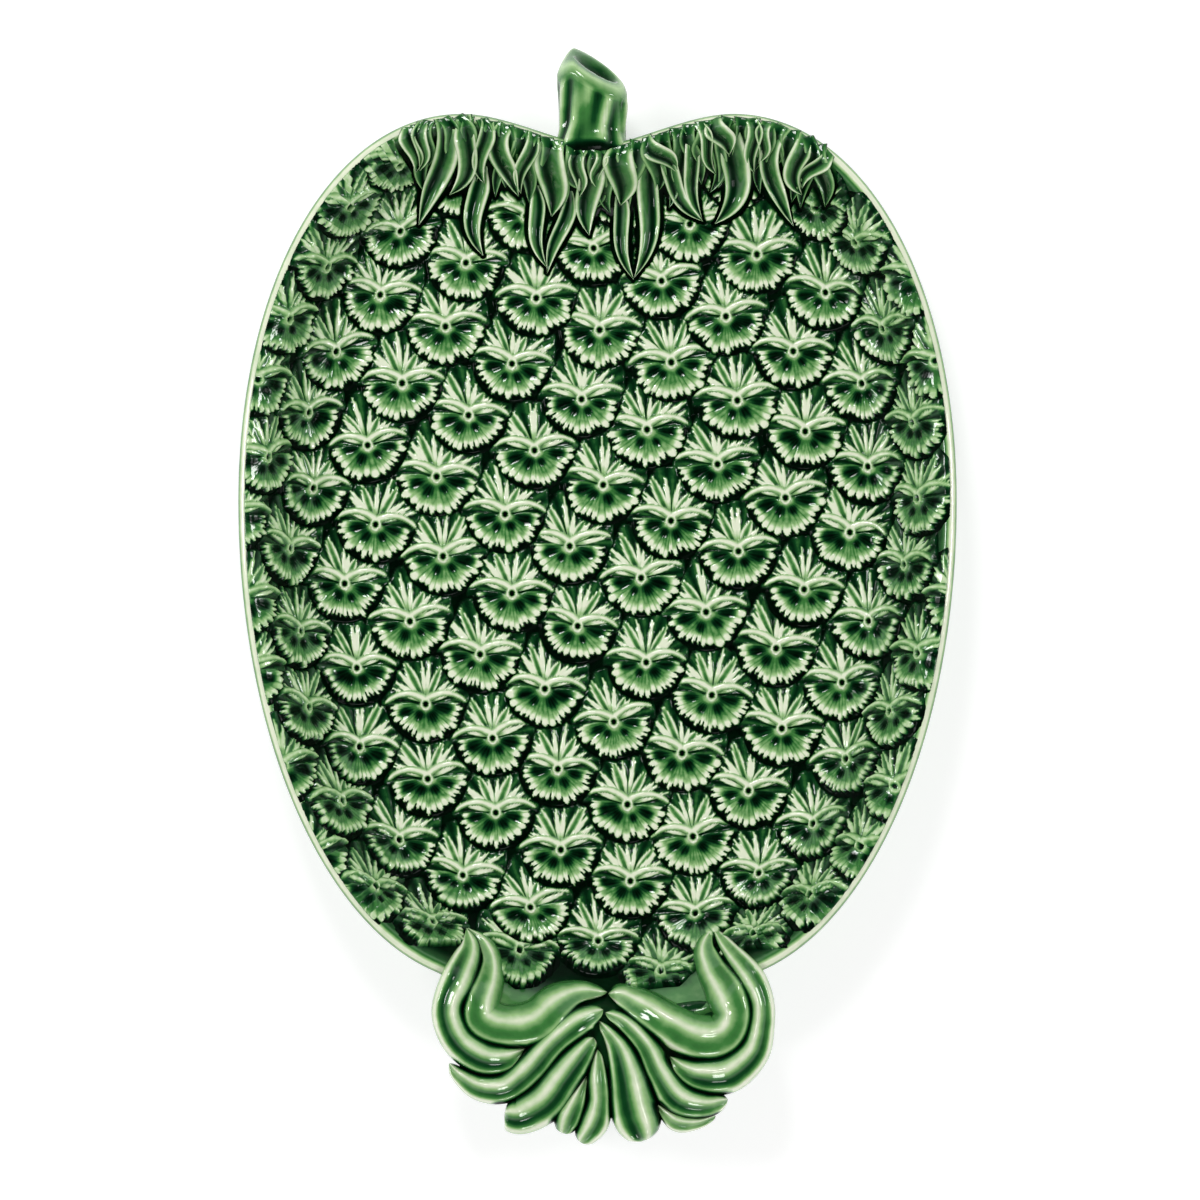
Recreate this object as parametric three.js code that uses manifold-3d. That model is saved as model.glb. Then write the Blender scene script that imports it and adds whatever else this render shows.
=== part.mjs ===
// A green glazed earthenware serving tray in the shape of a pineapple.
// A pressed dish is the fruit. Rows of eyes, a fringe of leaves, the stem and a crown of curling
// leaves, which serves as the handle, are made apart and luted onto it with slip.
// Millimetres, +Z up. The origin is on the table, under the middle of the tray: the stem points
// to +Y and the crown to -Y.
import * as THREE from 'three';
import { mergeVertices } from 'three/addons/utils/BufferGeometryUtils.js';
import Module from 'manifold-3d';

const wasm = await Module();
wasm.setup();
const { degToRad, lerp, clamp } = THREE.MathUtils;

// Outline of the dish from above, right half: dip under the stem, lobe, widest place, neck, end
const DIP_Y = 165.5;
const LOBE_X = 49.7;
const LOBE_Y = 177;
const HALF_WIDTH = 131.2;
const WIDEST_Y = 35.5;
const NECK_X = 61;
const NECK_Y = -135.5;
const NECK_ANGLE = degToRad(24.5);
const END_Y = -153;
// How far the outline keeps its direction at each of those places
const DIP_PULL = 12;
const LOBE_PULL_IN = 17;
const LOBE_PULL_OUT = 45.5;
const WIDEST_PULL_UP = 83.5;
const WIDEST_PULL_DOWN = 84.5;
const NECK_PULL_UP = 44;
const NECK_PULL_DOWN = 22;
const END_PULL = 30;
const OUTLINE_STEPS = 36;

// Section of the dish: a flat floor, a fillet, a leaning wall and a round lip
const WELL_DEPTH = 24;
const WALL_FILLET = 26;
const WALL_ANGLE = degToRad(52);
const WALL_THICKNESS = 5.5;
const FILLET_STEPS = 3;
const LIP_STEPS = 4;

// Foot ring under the floor
const FOOT_HEIGHT = 4;
const FOOT_WIDTH = 7;
const FOOT_INSET = 4;

// Slip joint between a piece and what carries it, and the width that a cut cleans up
const SEAT_GAP = 0.3;
const CUT_CLEANING = 0.02;
// How deep a piece reaches into what carries it before it is cut to fit
const ROOT_DEPTH = 1.2;

// Eyes: slanted rows, each with its own start, in a flat sheet that is laid into the dish
const EYE_STEP = 24.8;
const ROW_DROP = 28.3;
const ROW_SLOPE = 0.505;
const ROW_TOP_Y = 184.5;
const ROW_STARTS = [0.07, 0.4, -0.07, 0.06, -0.24, 0.09, -0.38, -0.27, 0.25, 0.43, 0.46, 0.01, 0.44];
const FAN_REACH = 12.8;
const FAN_SCALLOP = 6;
const ROW_GAP = 0.6;
const RIM_BAND = 1.5;
const EYE_COLUMNS = 4;
const EYE_LEVELS = 8;
const EYE_ROOT_LEVELS = 3;
const BEAD_HEIGHT = 3.2;
const BEAD_REACH = 2.5;
const BROW_HEIGHT = 3;
const BROW_RISE = 3;
const BROW_HALF = 2.2;
const BROW_REACH = 14.5;
const FAN_HEIGHT = 2.1;
const FAN_EDGE_HEIGHT = 3.2;
const PLUME_HEIGHT = 2.2;
const PLUME_CLEFT = 0.6;
const PLUME_NARROWING = 0.35;
const EYE_GROUND = 0.6;

// Fringe leaves: place along the rim, drop below it, tip from there, sideways bow and width.
// The front ones come first, and those behind are cut to fit them.
const FRINGE = [
  [-68.7, 2, 2, -15.5, 0, 6],
  [-63.3, 2, -2, -16.5, 0, 5.5],
  [-56.3, 2, -9.5, -37, 3.5, 8],
  [-49, 2, -5.5, -26.5, 4, 7.5],
  [-40, 2, -1.5, -21.5, -1.5, 6],
  [-33, 2, 4, -24.5, -4, 7.5],
  [-23.2, 2, -5, -20.5, -1, 5.5],
  [-16.2, 2.5, -0.7, -26, 0, 10.5],
  [-5.3, 3, -1.5, -16, -1, 5.5],
  [0.5, 2.5, -0.5, -13, 0, 4.5],
  [9, 2.5, -0.5, -20, 0, 11],
  [17.3, 2.5, 12, -11, 0, 6.5],
  [36.3, 2.5, 7.3, -17, 0, 4.5],
  [42.2, 2, 6, -12, 0, 8],
  [47.6, 6, -4.4, -33, 6, 9.5],
  [55.7, 2, 1.8, -18.5, 0, 5.5],
  [62.2, 2.5, -3.3, -13.5, 0, 5],
  [68.4, 2, 3.7, -34.5, -6.5, 6.5],
  [76, 2, -1, -20, -3.5, 7],
  [84.8, 2, -9.8, -12, -1, 5.5],
  [-41.4, 23, -0.7, -27, -3.5, 7],
  [-23.5, 26, 4.8, -23.5, -1.5, 5.5],
  [-10.8, 24, -7.7, -23.5, 1.5, 5.5],
  [-3.1, 8, 0, -24, 0, 9],
  [18.4, 13, -4.8, -38.5, 3, 7.5],
  [7.1, 21, 6.2, -28, -1.5, 5.5],
  [21.7, 15, 17.2, -17, -2, 6],
  [32.3, 11, 6.2, -23.5, -1, 5.5],
];
const FRINGE_STEPS = 6;
const FRINGE_RIDGE = 3;
const FRINGE_GUTTER = 2.2;
const FRINGE_BASE = 0.7;
const FRINGE_WIDEST = 0.35;
const FRINGE_TIP = 0.08;

// Crown leaves: places along the middle line and the width there, from the middle of the end of the dish.
// The inner ones come first, and those outside are cut to fit them.
const CROWN = {
  inner_left: [
    [-47.5, 32, 1], [-42, 27.5, 4.5], [-39, 21, 7], [-39.5, 14, 10], [-42, 6.5, 12], [-41.5, 0, 14],
    [-33, -3, 14], [-22.5, -1.5, 14.5], [-14.5, 5.5, 12.5], [-6.5, 9, 7.5], [3.5, 9, 3.5],
  ],
  inner_right: [
    [42, 32, 1], [39.5, 25, 7.5], [42, 17.5, 11], [47, 9.5, 14], [49.5, 1, 13], [45.5, -6, 14.5],
    [36.5, -7, 15], [25.5, -1.5, 13], [17.5, 3.5, 11.5], [9, 8, 7.5], [4, 8.5, 3.5],
  ],
  outer_left: [
    [-48, 32, 1.5], [-46.5, 25, 8], [-50, 15.5, 11.5], [-54, 6.5, 10.5], [-54, -0.5, 11], [-50, -8.5, 11.5],
    [-42, -14, 12], [-33.5, -14.5, 9.5], [-26, -11, 2],
  ],
  outer_right: [
    [42.5, 32, 1.5], [47.5, 25, 6], [55.5, 15.5, 9], [59.5, 6.5, 8.5], [59.5, -2.5, 9], [56.5, -12.5, 11],
    [47.5, -20, 13], [37.5, -20.5, 11.5], [31, -18, 7.5], [26.5, -14, 2],
  ],
  sweep_left: [
    [2, 3, 4.5], [-6.5, -1, 10], [-16, -8.5, 10], [-24.5, -18, 11], [-33.5, -25, 10.5], [-43, -25, 9],
    [-50.5, -20.5, 5.5], [-54, -16.5, 2],
  ],
  sweep_right: [
    [3, 2, 3], [10, -1.5, 6.5], [17.5, -9.5, 8], [22.5, -19.5, 9.5], [29.5, -29, 11.5], [39, -31.5, 9],
    [47.5, -29.5, 4.5],
  ],
  mid_left: [[-1.5, -7, 5], [-6.5, -13.5, 10], [-13, -22, 13], [-19, -30, 14], [-28, -35, 13], [-34, -34.5, 9.5]],
  tail_right: [[21.5, -31.5, 1.5], [28.5, -37.5, 6.5], [36.5, -38, 4.5], [43, -35.5, 2]],
  end_right: [[0.5, -1, 2], [7.5, -10, 8], [11, -20.5, 13], [13, -31.5, 15.5], [15.5, -39, 14.5], [17.5, -44.5, 8]],
  end_left: [[0, -11.5, 2], [0, -20.5, 7], [0.5, -30, 8], [-1.5, -38, 10], [-6.4, -45.2, 6]],
  small_left: [[-4, -21, 1], [-8, -30, 7.5], [-11, -37, 9], [-12.5, -42, 4.5]],
};
const CROWN_RISE = 8;
const CROWN_EDGE = 3;
const CROWN_SHOULDER = 0.62;
const CROWN_FULL_WIDTH = 13;
// Smooth bay between the last eyes and the crown, from the middle of the end of the dish
const BAY = [
  [-47, 26], [-30, 14.5], [-14, 12], [0, 11], [16, 12], [30, 15.5], [41, 25], [70, 10], [70, -12],
  [-70, -12], [-70, 10],
];
// Plate under the crown leaves
const PLATE_X = 2;
const PLATE_HALF_WIDTH = 53;
const PLATE_REACH = 37;
const PLATE_THICKNESS = 7;
const PLATE_STEPS = 40;

// Stem: a stub with a slanting cut, hollowed a little
const STEM_X = -2;
const STEM_REACH = 25.4;
const STEM_ROOT = 10;
const STEM_HALF_WIDTH = 11.7;
const STEM_HALF_HEIGHT = 8.5;
const STEM_FLARE = 1.1;
const STEM_RISE = 5;
const STEM_CUT_ACROSS = 0.6;
const STEM_CUT_BACK = 0.55;
const STEM_SIDES = 16;
const STEM_STEPS = 4;
const HOLLOW_RADIUS = 9;
const HOLLOW_DEPTH = 3;

// Levels and lengths that follow from the section
const FLOOR_Z = FOOT_HEIGHT + WALL_THICKNESS;
const FILLET_ARC = WALL_FILLET * WALL_ANGLE;
const WALL_STRAIGHT = (WELL_DEPTH - WALL_FILLET * (1 - Math.cos(WALL_ANGLE))) / Math.sin(WALL_ANGLE);
const WALL_ARC = FILLET_ARC + WALL_STRAIGHT;
const WALL_TOP = wallAt(WALL_ARC);
const LIP_OUT = WALL_TOP.out + (WALL_THICKNESS / 2) * Math.sin(WALL_ANGLE);
const LIP_Z = FLOOR_Z + WELL_DEPTH - (WALL_THICKNESS / 2) * Math.cos(WALL_ANGLE);
const RIM_REACH = LIP_OUT + WALL_THICKNESS / 2;
const CREST_Z = LIP_Z + WALL_THICKNESS / 2;
const ABOVE_ALL = CREST_Z + 4 * CROWN_RISE;
const EYE_COLUMN = EYE_STEP / EYE_COLUMNS;
const RELIEF_ROOM = 3 * BEAD_HEIGHT;

// The inside of the dish at an arc length from the floor's edge: how far out, how far up and its lean
function wallAt(arc) {
  const lean = clamp(arc / WALL_FILLET, 0, WALL_ANGLE);
  const past = Math.max(arc - WALL_FILLET * WALL_ANGLE, 0);
  const out = WALL_FILLET * Math.sin(lean) + past * Math.cos(lean);
  const up = WALL_FILLET * (1 - Math.cos(lean)) + past * Math.sin(lean);
  return { out: arc < 0 ? arc : out, up, lean };
}

// The arc length at which the inside of the dish is this far out from the floor's edge
function arcAt(out) {
  const filletOut = WALL_FILLET * Math.sin(WALL_ANGLE);
  if (out <= filletOut) return out <= 0 ? out : WALL_FILLET * Math.asin(out / WALL_FILLET);
  return FILLET_ARC + (out - filletOut) / Math.cos(WALL_ANGLE);
}

// The outline of the dish, anticlockwise from the crown end
function outline(steps) {
  const half = new THREE.Path();
  const neckX = Math.cos(NECK_ANGLE);
  const neckY = Math.sin(NECK_ANGLE);
  half.moveTo(0, DIP_Y);
  half.bezierCurveTo(DIP_PULL, DIP_Y, LOBE_X - LOBE_PULL_IN, LOBE_Y, LOBE_X, LOBE_Y);
  half.bezierCurveTo(LOBE_X + LOBE_PULL_OUT, LOBE_Y, HALF_WIDTH, WIDEST_Y + WIDEST_PULL_UP, HALF_WIDTH, WIDEST_Y);
  half.bezierCurveTo(
    HALF_WIDTH, WIDEST_Y - WIDEST_PULL_DOWN,
    NECK_X + NECK_PULL_UP * neckX, NECK_Y + NECK_PULL_UP * neckY,
    NECK_X, NECK_Y,
  );
  half.bezierCurveTo(NECK_X - NECK_PULL_DOWN * neckX, NECK_Y - NECK_PULL_DOWN * neckY, END_PULL, END_Y, 0, END_Y);
  const right = half.getSpacedPoints(steps);
  const left = right.slice(1, -1).map((p) => new THREE.Vector2(-p.x, p.y));
  return [...right.reverse(), ...left];
}

// A loop moved inwards along its own normals
function inset(loop, distance) {
  return loop.map((p, i) => {
    const along = loop[(i + 1) % loop.length].clone().sub(loop.at(i - 1)).normalize();
    return new THREE.Vector2(p.x - along.y * distance, p.y + along.x * distance);
  });
}

const rim = outline(OUTLINE_STEPS);
const floorEdge = inset(outline(6 * OUTLINE_STEPS), RIM_REACH);

// Where a point of the plan lies from the floor's edge: the nearest point there, the way out, how far
function fromFloorEdge(x, y) {
  let nearest = Infinity;
  let edgeX = 0;
  let edgeY = 0;
  let inside = false;
  floorEdge.forEach((a, i) => {
    const b = floorEdge[(i + 1) % floorEdge.length];
    const length = (b.x - a.x) ** 2 + (b.y - a.y) ** 2;
    const along = clamp(((x - a.x) * (b.x - a.x) + (y - a.y) * (b.y - a.y)) / length, 0, 1);
    const nearX = lerp(a.x, b.x, along);
    const nearY = lerp(a.y, b.y, along);
    const far = Math.hypot(x - nearX, y - nearY);
    if (far < nearest) [nearest, edgeX, edgeY] = [far, nearX, nearY];
    if (a.y > y !== b.y > y && x < a.x + ((b.x - a.x) * (y - a.y)) / (b.y - a.y)) inside = !inside;
  });
  const out = inside ? -nearest : nearest;
  return { edgeX, edgeY, wayX: (x - edgeX) / (out || 1), wayY: (y - edgeY) / (out || 1), out };
}

// A point of a flat sheet that is laid into the dish, lifted square off the surface
function laid(x, y, lift) {
  const { edgeX, edgeY, wayX, wayY, out } = fromFloorEdge(x, y);
  if (out <= 0) return new THREE.Vector3(x, y, FLOOR_Z + lift);
  const [reach, z] = sectionPoint(out, lift);
  return new THREE.Vector3(edgeX + wayX * reach, edgeY + wayY * reach, z);
}

// A point of the plan on the inside of the dish, lifted straight up by what is measured square to it
function onDish(x, y, lift) {
  const wall = wallAt(arcAt(fromFloorEdge(x, y).out));
  return new THREE.Vector3(x, y, FLOOR_Z + wall.up + lift / Math.cos(wall.lean));
}

// A point of the plan on the dish, or on the level of the lip's crest outside it, lifted straight up
function onCrown(x, y, lift) {
  const { out } = fromFloorEdge(x, y);
  const wall = FLOOR_Z + wallAt(arcAt(Math.min(out, WALL_TOP.out))).up;
  const overLip = clamp((out - WALL_TOP.out) / (LIP_OUT - WALL_TOP.out), 0, 1);
  return new THREE.Vector3(x, y, lerp(wall, CREST_Z, overLip) + lift);
}

// A closed solid from points and triangles, its faces turned outwards
function solid(points, triangles) {
  const build = (order) =>
    new wasm.Manifold(
      new wasm.Mesh({
        numProp: 3,
        vertProperties: new Float32Array(points.flatMap((p) => p.toArray())),
        triVerts: new Uint32Array(order.flat()),
      }),
    );
  const made = build(triangles);
  return made.volume() > 0 ? made : build(triangles.map(([a, b, c]) => [a, c, b]));
}

// A closed solid from loops joined in order, with a lid on the first loop and on the last
function lofted(loops, lid) {
  const count = loops[0].length;
  const triangles = lid.map(([a, b, c]) => [a, b, c]);
  for (let ring = 0; ring < loops.length - 1; ring++) {
    for (let i = 0; i < count; i++) {
      const here = ring * count + i;
      const next = ring * count + ((i + 1) % count);
      triangles.push([here, here + count, next + count], [here, next + count, next]);
    }
  }
  const last = (loops.length - 1) * count;
  lid.forEach(([a, b, c]) => triangles.push([last + a, last + c, last + b]));
  return solid(loops.flat(), triangles);
}

// Lids: a fan for a small section, and the triangles of a plan outline
function fanLid(count) {
  return Array.from({ length: count - 2 }, (_, i) => [0, i + 1, i + 2]);
}

function planLid(loop) {
  return THREE.ShapeUtils.triangulateShape(loop, []).map(([a, b, c]) => {
    const corner = loop[b].clone().sub(loop[a]).cross(loop[c].clone().sub(loop[a]));
    return corner > 0 ? [a, b, c] : [a, c, b];
  });
}

// A three.js geometry as a solid
function solidOf(geometry) {
  geometry.deleteAttribute('normal');
  geometry.deleteAttribute('uv');
  const merged = mergeVertices(geometry);
  const place = merged.attributes.position;
  const points = Array.from({ length: place.count }, (_, i) => new THREE.Vector3().fromBufferAttribute(place, i));
  const order = Array.from(merged.index.array);
  return solid(points, Array.from({ length: order.length / 3 }, (_, i) => order.slice(3 * i, 3 * i + 3)));
}

// An upright prism on a plan outline
function prism(loop, low, high) {
  const shape = new THREE.ExtrudeGeometry(new THREE.Shape(loop), { depth: high - low, bevelEnabled: false });
  return solidOf(shape.translate(0, 0, low));
}

// The largest body that a cut leaves, cleaned of slivers
function trimmed(made) {
  const bodies = made.simplify(CUT_CLEANING).decompose();
  return bodies.reduce((best, body) => (body.volume() > best.volume() ? body : best), bodies[0]);
}

// A section of the dish swept round its outline: each entry is a distance out from the floor's edge and a height
function sweptRound(section) {
  const loops = section.map(([out, z]) =>
    inset(rim, RIM_REACH - out).map((p) => new THREE.Vector3(p.x, p.y, z)),
  );
  return lofted(loops, planLid(inset(rim, RIM_REACH)));
}

// Arc lengths at which the section of the dish has a corner
const wallArcs = [
  ...Array.from({ length: FILLET_STEPS + 1 }, (_, i) => (FILLET_ARC * i) / FILLET_STEPS),
  WALL_ARC,
];

// A corner of the section, lifted off the inside of the dish
function sectionPoint(arc, lift) {
  const wall = wallAt(arc);
  return [wall.out - lift * Math.sin(wall.lean), FLOOR_Z + wall.up + lift * Math.cos(wall.lean)];
}

// The dish, or the dish grown all round to make room beside it
function dish(grow) {
  const inside = wallArcs.map((arc) => sectionPoint(arc, grow));
  const outside = wallArcs.map((arc) => sectionPoint(arc, -WALL_THICKNESS - grow)).reverse();
  const lip = Array.from({ length: LIP_STEPS - 1 }, (_, i) => {
    const turn = WALL_ANGLE + Math.PI / 2 - (Math.PI * (i + 1)) / LIP_STEPS;
    const radius = WALL_THICKNESS / 2 + grow;
    return [LIP_OUT + radius * Math.cos(turn), LIP_Z + radius * Math.sin(turn)];
  });
  return sweptRound([...inside, ...lip, ...outside]);
}

// The room just above the inside of the dish that the relief may fill
function reliefRoom() {
  const edge = WALL_ARC - RIM_BAND;
  const arcs = [...wallArcs.filter((arc) => arc < edge), edge];
  const top = arcs.map((arc) => sectionPoint(arc, RELIEF_ROOM));
  const bottom = arcs.map((arc) => sectionPoint(arc, SEAT_GAP)).reverse();
  return sweptRound([...top, ...bottom]);
}

// The whole hollow of the dish, open to above
function hollow() {
  const inside = wallArcs.map((arc) => sectionPoint(arc, 0));
  const mouth = WALL_TOP.out;
  return sweptRound([...inside, [mouth, ABOVE_ALL]].reverse());
}

// The foot ring that the tray stands on
function footRing() {
  const outer = inset(rim, RIM_REACH + FOOT_INSET);
  const inner = inset(rim, RIM_REACH + FOOT_INSET + FOOT_WIDTH);
  const shape = new THREE.Shape(outer);
  shape.holes.push(new THREE.Path(inner));
  return solidOf(new THREE.ExtrudeGeometry(shape, { depth: FOOT_HEIGHT, bevelEnabled: false }));
}

// The height of the rim above the page at a place across it, on the stem's side
function rimY(x) {
  let y = DIP_Y;
  rim.forEach((a, i) => {
    const b = rim[(i + 1) % rim.length];
    const crosses = a.x > x !== b.x > x && a.y + b.y > 0;
    if (crosses) y = lerp(a.y, b.y, (x - a.x) / (b.x - a.x));
  });
  return y;
}

// Both edges of a leaf in plan, from its middle line and its half width along it
function leafEdges(curve, halfWidth, steps, grow) {
  const left = [];
  const middle = [];
  const right = [];
  for (let i = 0; i <= steps; i++) {
    const t = i / steps;
    const p = curve.getPoint(t);
    const along = curve.getTangent(t);
    const way = new THREE.Vector2(along.x, along.y).normalize();
    const end = i === 0 ? -grow : i === steps ? grow : 0;
    const centre = new THREE.Vector2(p.x + way.x * end, p.y + way.y * end);
    const half = halfWidth(t) + grow;
    middle.push(centre);
    left.push(new THREE.Vector2(centre.x - way.y * half, centre.y + way.x * half));
    right.push(new THREE.Vector2(centre.x + way.y * half, centre.y - way.x * half));
  }
  return { left, middle, right };
}

// The plan outline of a leaf
function leafPlan(edges) {
  return [...edges.left, ...edges.right.toReversed()];
}

// One leaf of the fringe: a gutter between two raised edges, hanging down the wall from the rim
function fringeLeaf([x, drop, tipX, tipY, bow, width]) {
  const base = new THREE.Vector2(x, rimY(x) - drop);
  const tip = new THREE.Vector2(x + tipX, base.y + tipY);
  const bowed = new THREE.Vector2((base.x + tip.x) / 2 + 2 * bow, (base.y + tip.y) / 2);
  const curve = new THREE.QuadraticBezierCurve(base, bowed, tip);
  const halfWidth = (t) => {
    const swell = t < FRINGE_WIDEST ? lerp(FRINGE_BASE, 1, t / FRINGE_WIDEST) : 1;
    const taper = t < FRINGE_WIDEST ? 1 : 1 - ((t - FRINGE_WIDEST) / (1 - FRINGE_WIDEST)) ** 1.6;
    return (width / 2) * Math.max(swell * taper, FRINGE_TIP);
  };
  const { left, middle, right } = leafEdges(curve, halfWidth, FRINGE_STEPS, 0);
  const loops = middle.map((m, i) => [
    onDish(left[i].x, left[i].y, -ROOT_DEPTH),
    onDish(right[i].x, right[i].y, -ROOT_DEPTH),
    onDish(right[i].x, right[i].y, FRINGE_RIDGE),
    onDish(m.x, m.y, FRINGE_GUTTER),
    onDish(left[i].x, left[i].y, FRINGE_RIDGE),
  ]);
  const plan = leafPlan(leafEdges(curve, halfWidth, FRINGE_STEPS, SEAT_GAP));
  return { made: lofted(loops, fanLid(5)), room: prism(plan, 0, ABOVE_ALL) };
}

// One leaf of the crown: thick and round, lying over the lip, the wall and the plate
function crownLeaf(places) {
  const spine = places.map(([x, y, width]) => new THREE.Vector3(x, END_Y + y, width));
  const curve = new THREE.CatmullRomCurve3(spine, false, 'centripetal');
  const width = (t) => curve.getPoint(t).z;
  const steps = 2 * (places.length - 1);
  const { left, right } = leafEdges(curve, (t) => width(t) / 2, steps, 0);
  const loops = left.map((a, i) => {
    const b = right[i];
    const rise = lerp(CROWN_EDGE, CROWN_RISE, Math.sqrt(Math.min(width(i / steps) / CROWN_FULL_WIDTH, 1)));
    const inLeft = a.clone().lerp(b, (1 - CROWN_SHOULDER) / 2);
    const inRight = b.clone().lerp(a, (1 - CROWN_SHOULDER) / 2);
    return [
      onCrown(a.x, a.y, -ROOT_DEPTH),
      onCrown(b.x, b.y, -ROOT_DEPTH),
      onCrown(b.x, b.y, CROWN_EDGE),
      onCrown(inRight.x, inRight.y, rise),
      onCrown(inLeft.x, inLeft.y, rise),
      onCrown(a.x, a.y, CROWN_EDGE),
    ];
  });
  const plan = leafPlan(leafEdges(curve, (t) => width(t) / 2, steps, SEAT_GAP));
  return { made: lofted(loops, fanLid(6)), room: prism(plan, 0, ABOVE_ALL) };
}

// The plate that carries the crown leaves outside the lip
function crownPlate(low, high, grow) {
  const loop = Array.from({ length: PLATE_STEPS }, (_, i) => {
    const turn = (2 * Math.PI * i) / PLATE_STEPS;
    const x = PLATE_X + (PLATE_HALF_WIDTH + grow) * Math.cos(turn);
    return new THREE.Vector2(x, END_Y + (PLATE_REACH + grow) * Math.sin(turn));
  });
  return prism(loop, low, high);
}

// The stem: lines from its root to the slanting cut at its end
function stemBlock() {
  const endY = DIP_Y + STEM_REACH;
  const midZ = CREST_Z - STEM_HALF_HEIGHT;
  const loops = Array.from({ length: STEM_STEPS + 1 }, (_, ring) => {
    const t = ring / STEM_STEPS;
    const spread = lerp(1, STEM_FLARE, t);
    return Array.from({ length: STEM_SIDES }, (_, i) => {
      const turn = (2 * Math.PI * i) / STEM_SIDES;
      const across = STEM_HALF_WIDTH * spread * Math.cos(turn);
      const up = STEM_HALF_HEIGHT * spread * Math.sin(turn);
      const cut = endY - STEM_CUT_ACROSS * across - STEM_CUT_BACK * up;
      return new THREE.Vector3(STEM_X + across, lerp(DIP_Y - STEM_ROOT, cut, t), midZ + up + STEM_RISE * t);
    });
  });
  const out = new THREE.Vector3(STEM_CUT_ACROSS, 1, STEM_CUT_BACK).normalize();
  const centre = new THREE.Vector3(STEM_X, endY, midZ + STEM_RISE).addScaledVector(out, HOLLOW_RADIUS - HOLLOW_DEPTH);
  const ball = new THREE.SphereGeometry(HOLLOW_RADIUS, STEM_SIDES, STEM_SIDES / 2);
  return lofted(loops, fanLid(STEM_SIDES)).subtract(solidOf(ball.translate(...centre.toArray())));
}

// The line that the beads of a row lie on, and the place of one bead along it
function rowLine(row, x) {
  return ROW_TOP_Y - row * ROW_DROP - ROW_SLOPE * x;
}

function beadX(row, eye) {
  return (eye + (ROW_STARTS[row] ?? 0)) * EYE_STEP;
}

// How far along the row a place is from the nearest bead: 0 at a bead, 1 half way to the next
function fromBead(row, x) {
  const eyes = x / EYE_STEP - (ROW_STARTS[row] ?? 0);
  return 2 * Math.abs(eyes - Math.round(eyes));
}

// How high one eye stands, across and along the tray from its bead: a fan below, brows and a cleft
// plume above
function eyeHeight(across, along) {
  const far = Math.hypot(across, along);
  if (far < BEAD_REACH) return BEAD_HEIGHT;
  const beside = Math.abs(across);
  if (Math.abs(along - BROW_RISE) < BROW_HALF && beside < BROW_REACH) return BROW_HEIGHT;
  const fan = lerp(FAN_HEIGHT, FAN_EDGE_HEIGHT, (far / FAN_REACH) ** 2);
  if (along < BROW_RISE) return far > FAN_REACH + ROW_GAP ? EYE_GROUND : fan;
  if (beside > BROW_REACH - PLUME_NARROWING * along) return EYE_GROUND;
  return beside < BEAD_REACH ? PLUME_CLEFT * PLUME_HEIGHT : PLUME_HEIGHT;
}

// The scalloped lower edge of a row, where its fans end
function fanEdge(row, x) {
  return rowLine(row, x) - FAN_REACH + FAN_SCALLOP * fromBead(row, x) ** 2;
}

// One row of eyes: from its own fans up to the fans of the row above, a column of points at a time, each
// lifted by the eye that it belongs to
function eyeRow(row) {
  const reach = Math.ceil((HALF_WIDTH + WALL_ARC) / EYE_COLUMN);
  const loops = [];
  for (let column = -reach; column <= reach; column++) {
    const x = beadX(row, 0) + column * EYE_COLUMN;
    const line = rowLine(row, x);
    if (fromFloorEdge(x, line).out > WALL_ARC + EYE_STEP) continue;
    const low = fanEdge(row, x);
    const high = fanEdge(row - 1, x) - ROW_GAP;
    const bead = beadX(row, Math.round(x / EYE_STEP - ROW_STARTS[row]));
    const level = (i, count) => lerp(low, high, i / (count - 1));
    const under = Array.from({ length: EYE_ROOT_LEVELS }, (_, i) => {
      return laid(x, level(i, EYE_ROOT_LEVELS), -ROOT_DEPTH);
    });
    const over = Array.from({ length: EYE_LEVELS }, (_, i) => {
      const y = level(i, EYE_LEVELS);
      return laid(x, y, eyeHeight(x - bead, y - rowLine(row, bead)));
    });
    loops.push([...under, ...over.reverse()]);
  }
  return lofted(loops, fanLid(loops[0].length));
}

// Glaze pooled dark in the relief, glaze thinned pale on the leaves, and bare fired clay
const glaze = new THREE.MeshStandardMaterial({ color: 0x3c7a3c, roughness: 0.12 });
const paleGlaze = new THREE.MeshStandardMaterial({ color: 0x7fa766, roughness: 0.12 });
const bareClay = new THREE.MeshStandardMaterial({ color: 0xd9c8a4, roughness: 0.8 });

const tray = new THREE.Group();

function addPiece(name, made, material) {
  const { vertProperties, triVerts } = made.getMesh();
  const geometry = new THREE.BufferGeometry();
  geometry.setAttribute('position', new THREE.BufferAttribute(new Float32Array(vertProperties), 3));
  geometry.setIndex(new THREE.BufferAttribute(new Uint32Array(triVerts), 1));
  geometry.computeVertexNormals();
  const mesh = new THREE.Mesh(geometry, material);
  mesh.name = name;
  tray.add(mesh);
}

function numbered(name, index) {
  return `${name}_${String(index + 1).padStart(2, '0')}`;
}

// The dish and its foot
const besideDish = dish(SEAT_GAP);
const inDish = hollow();
const overInside = reliefRoom();
addPiece('tray_shell', dish(0), glaze);
addPiece('foot_ring', footRing(), bareClay);

// The stem and the plate of the crown, fitted to the outside of the dish
addPiece('stem', trimmed(stemBlock().subtract(besideDish).subtract(inDish)), paleGlaze);
const plate = crownPlate(CREST_Z - PLATE_THICKNESS, CREST_Z, 0);
addPiece('crown_plate', trimmed(plate.subtract(besideDish).subtract(inDish)), glaze);
const besidePlate = crownPlate(CREST_Z - PLATE_THICKNESS - SEAT_GAP, CREST_Z + SEAT_GAP, SEAT_GAP).subtract(inDish);

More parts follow.
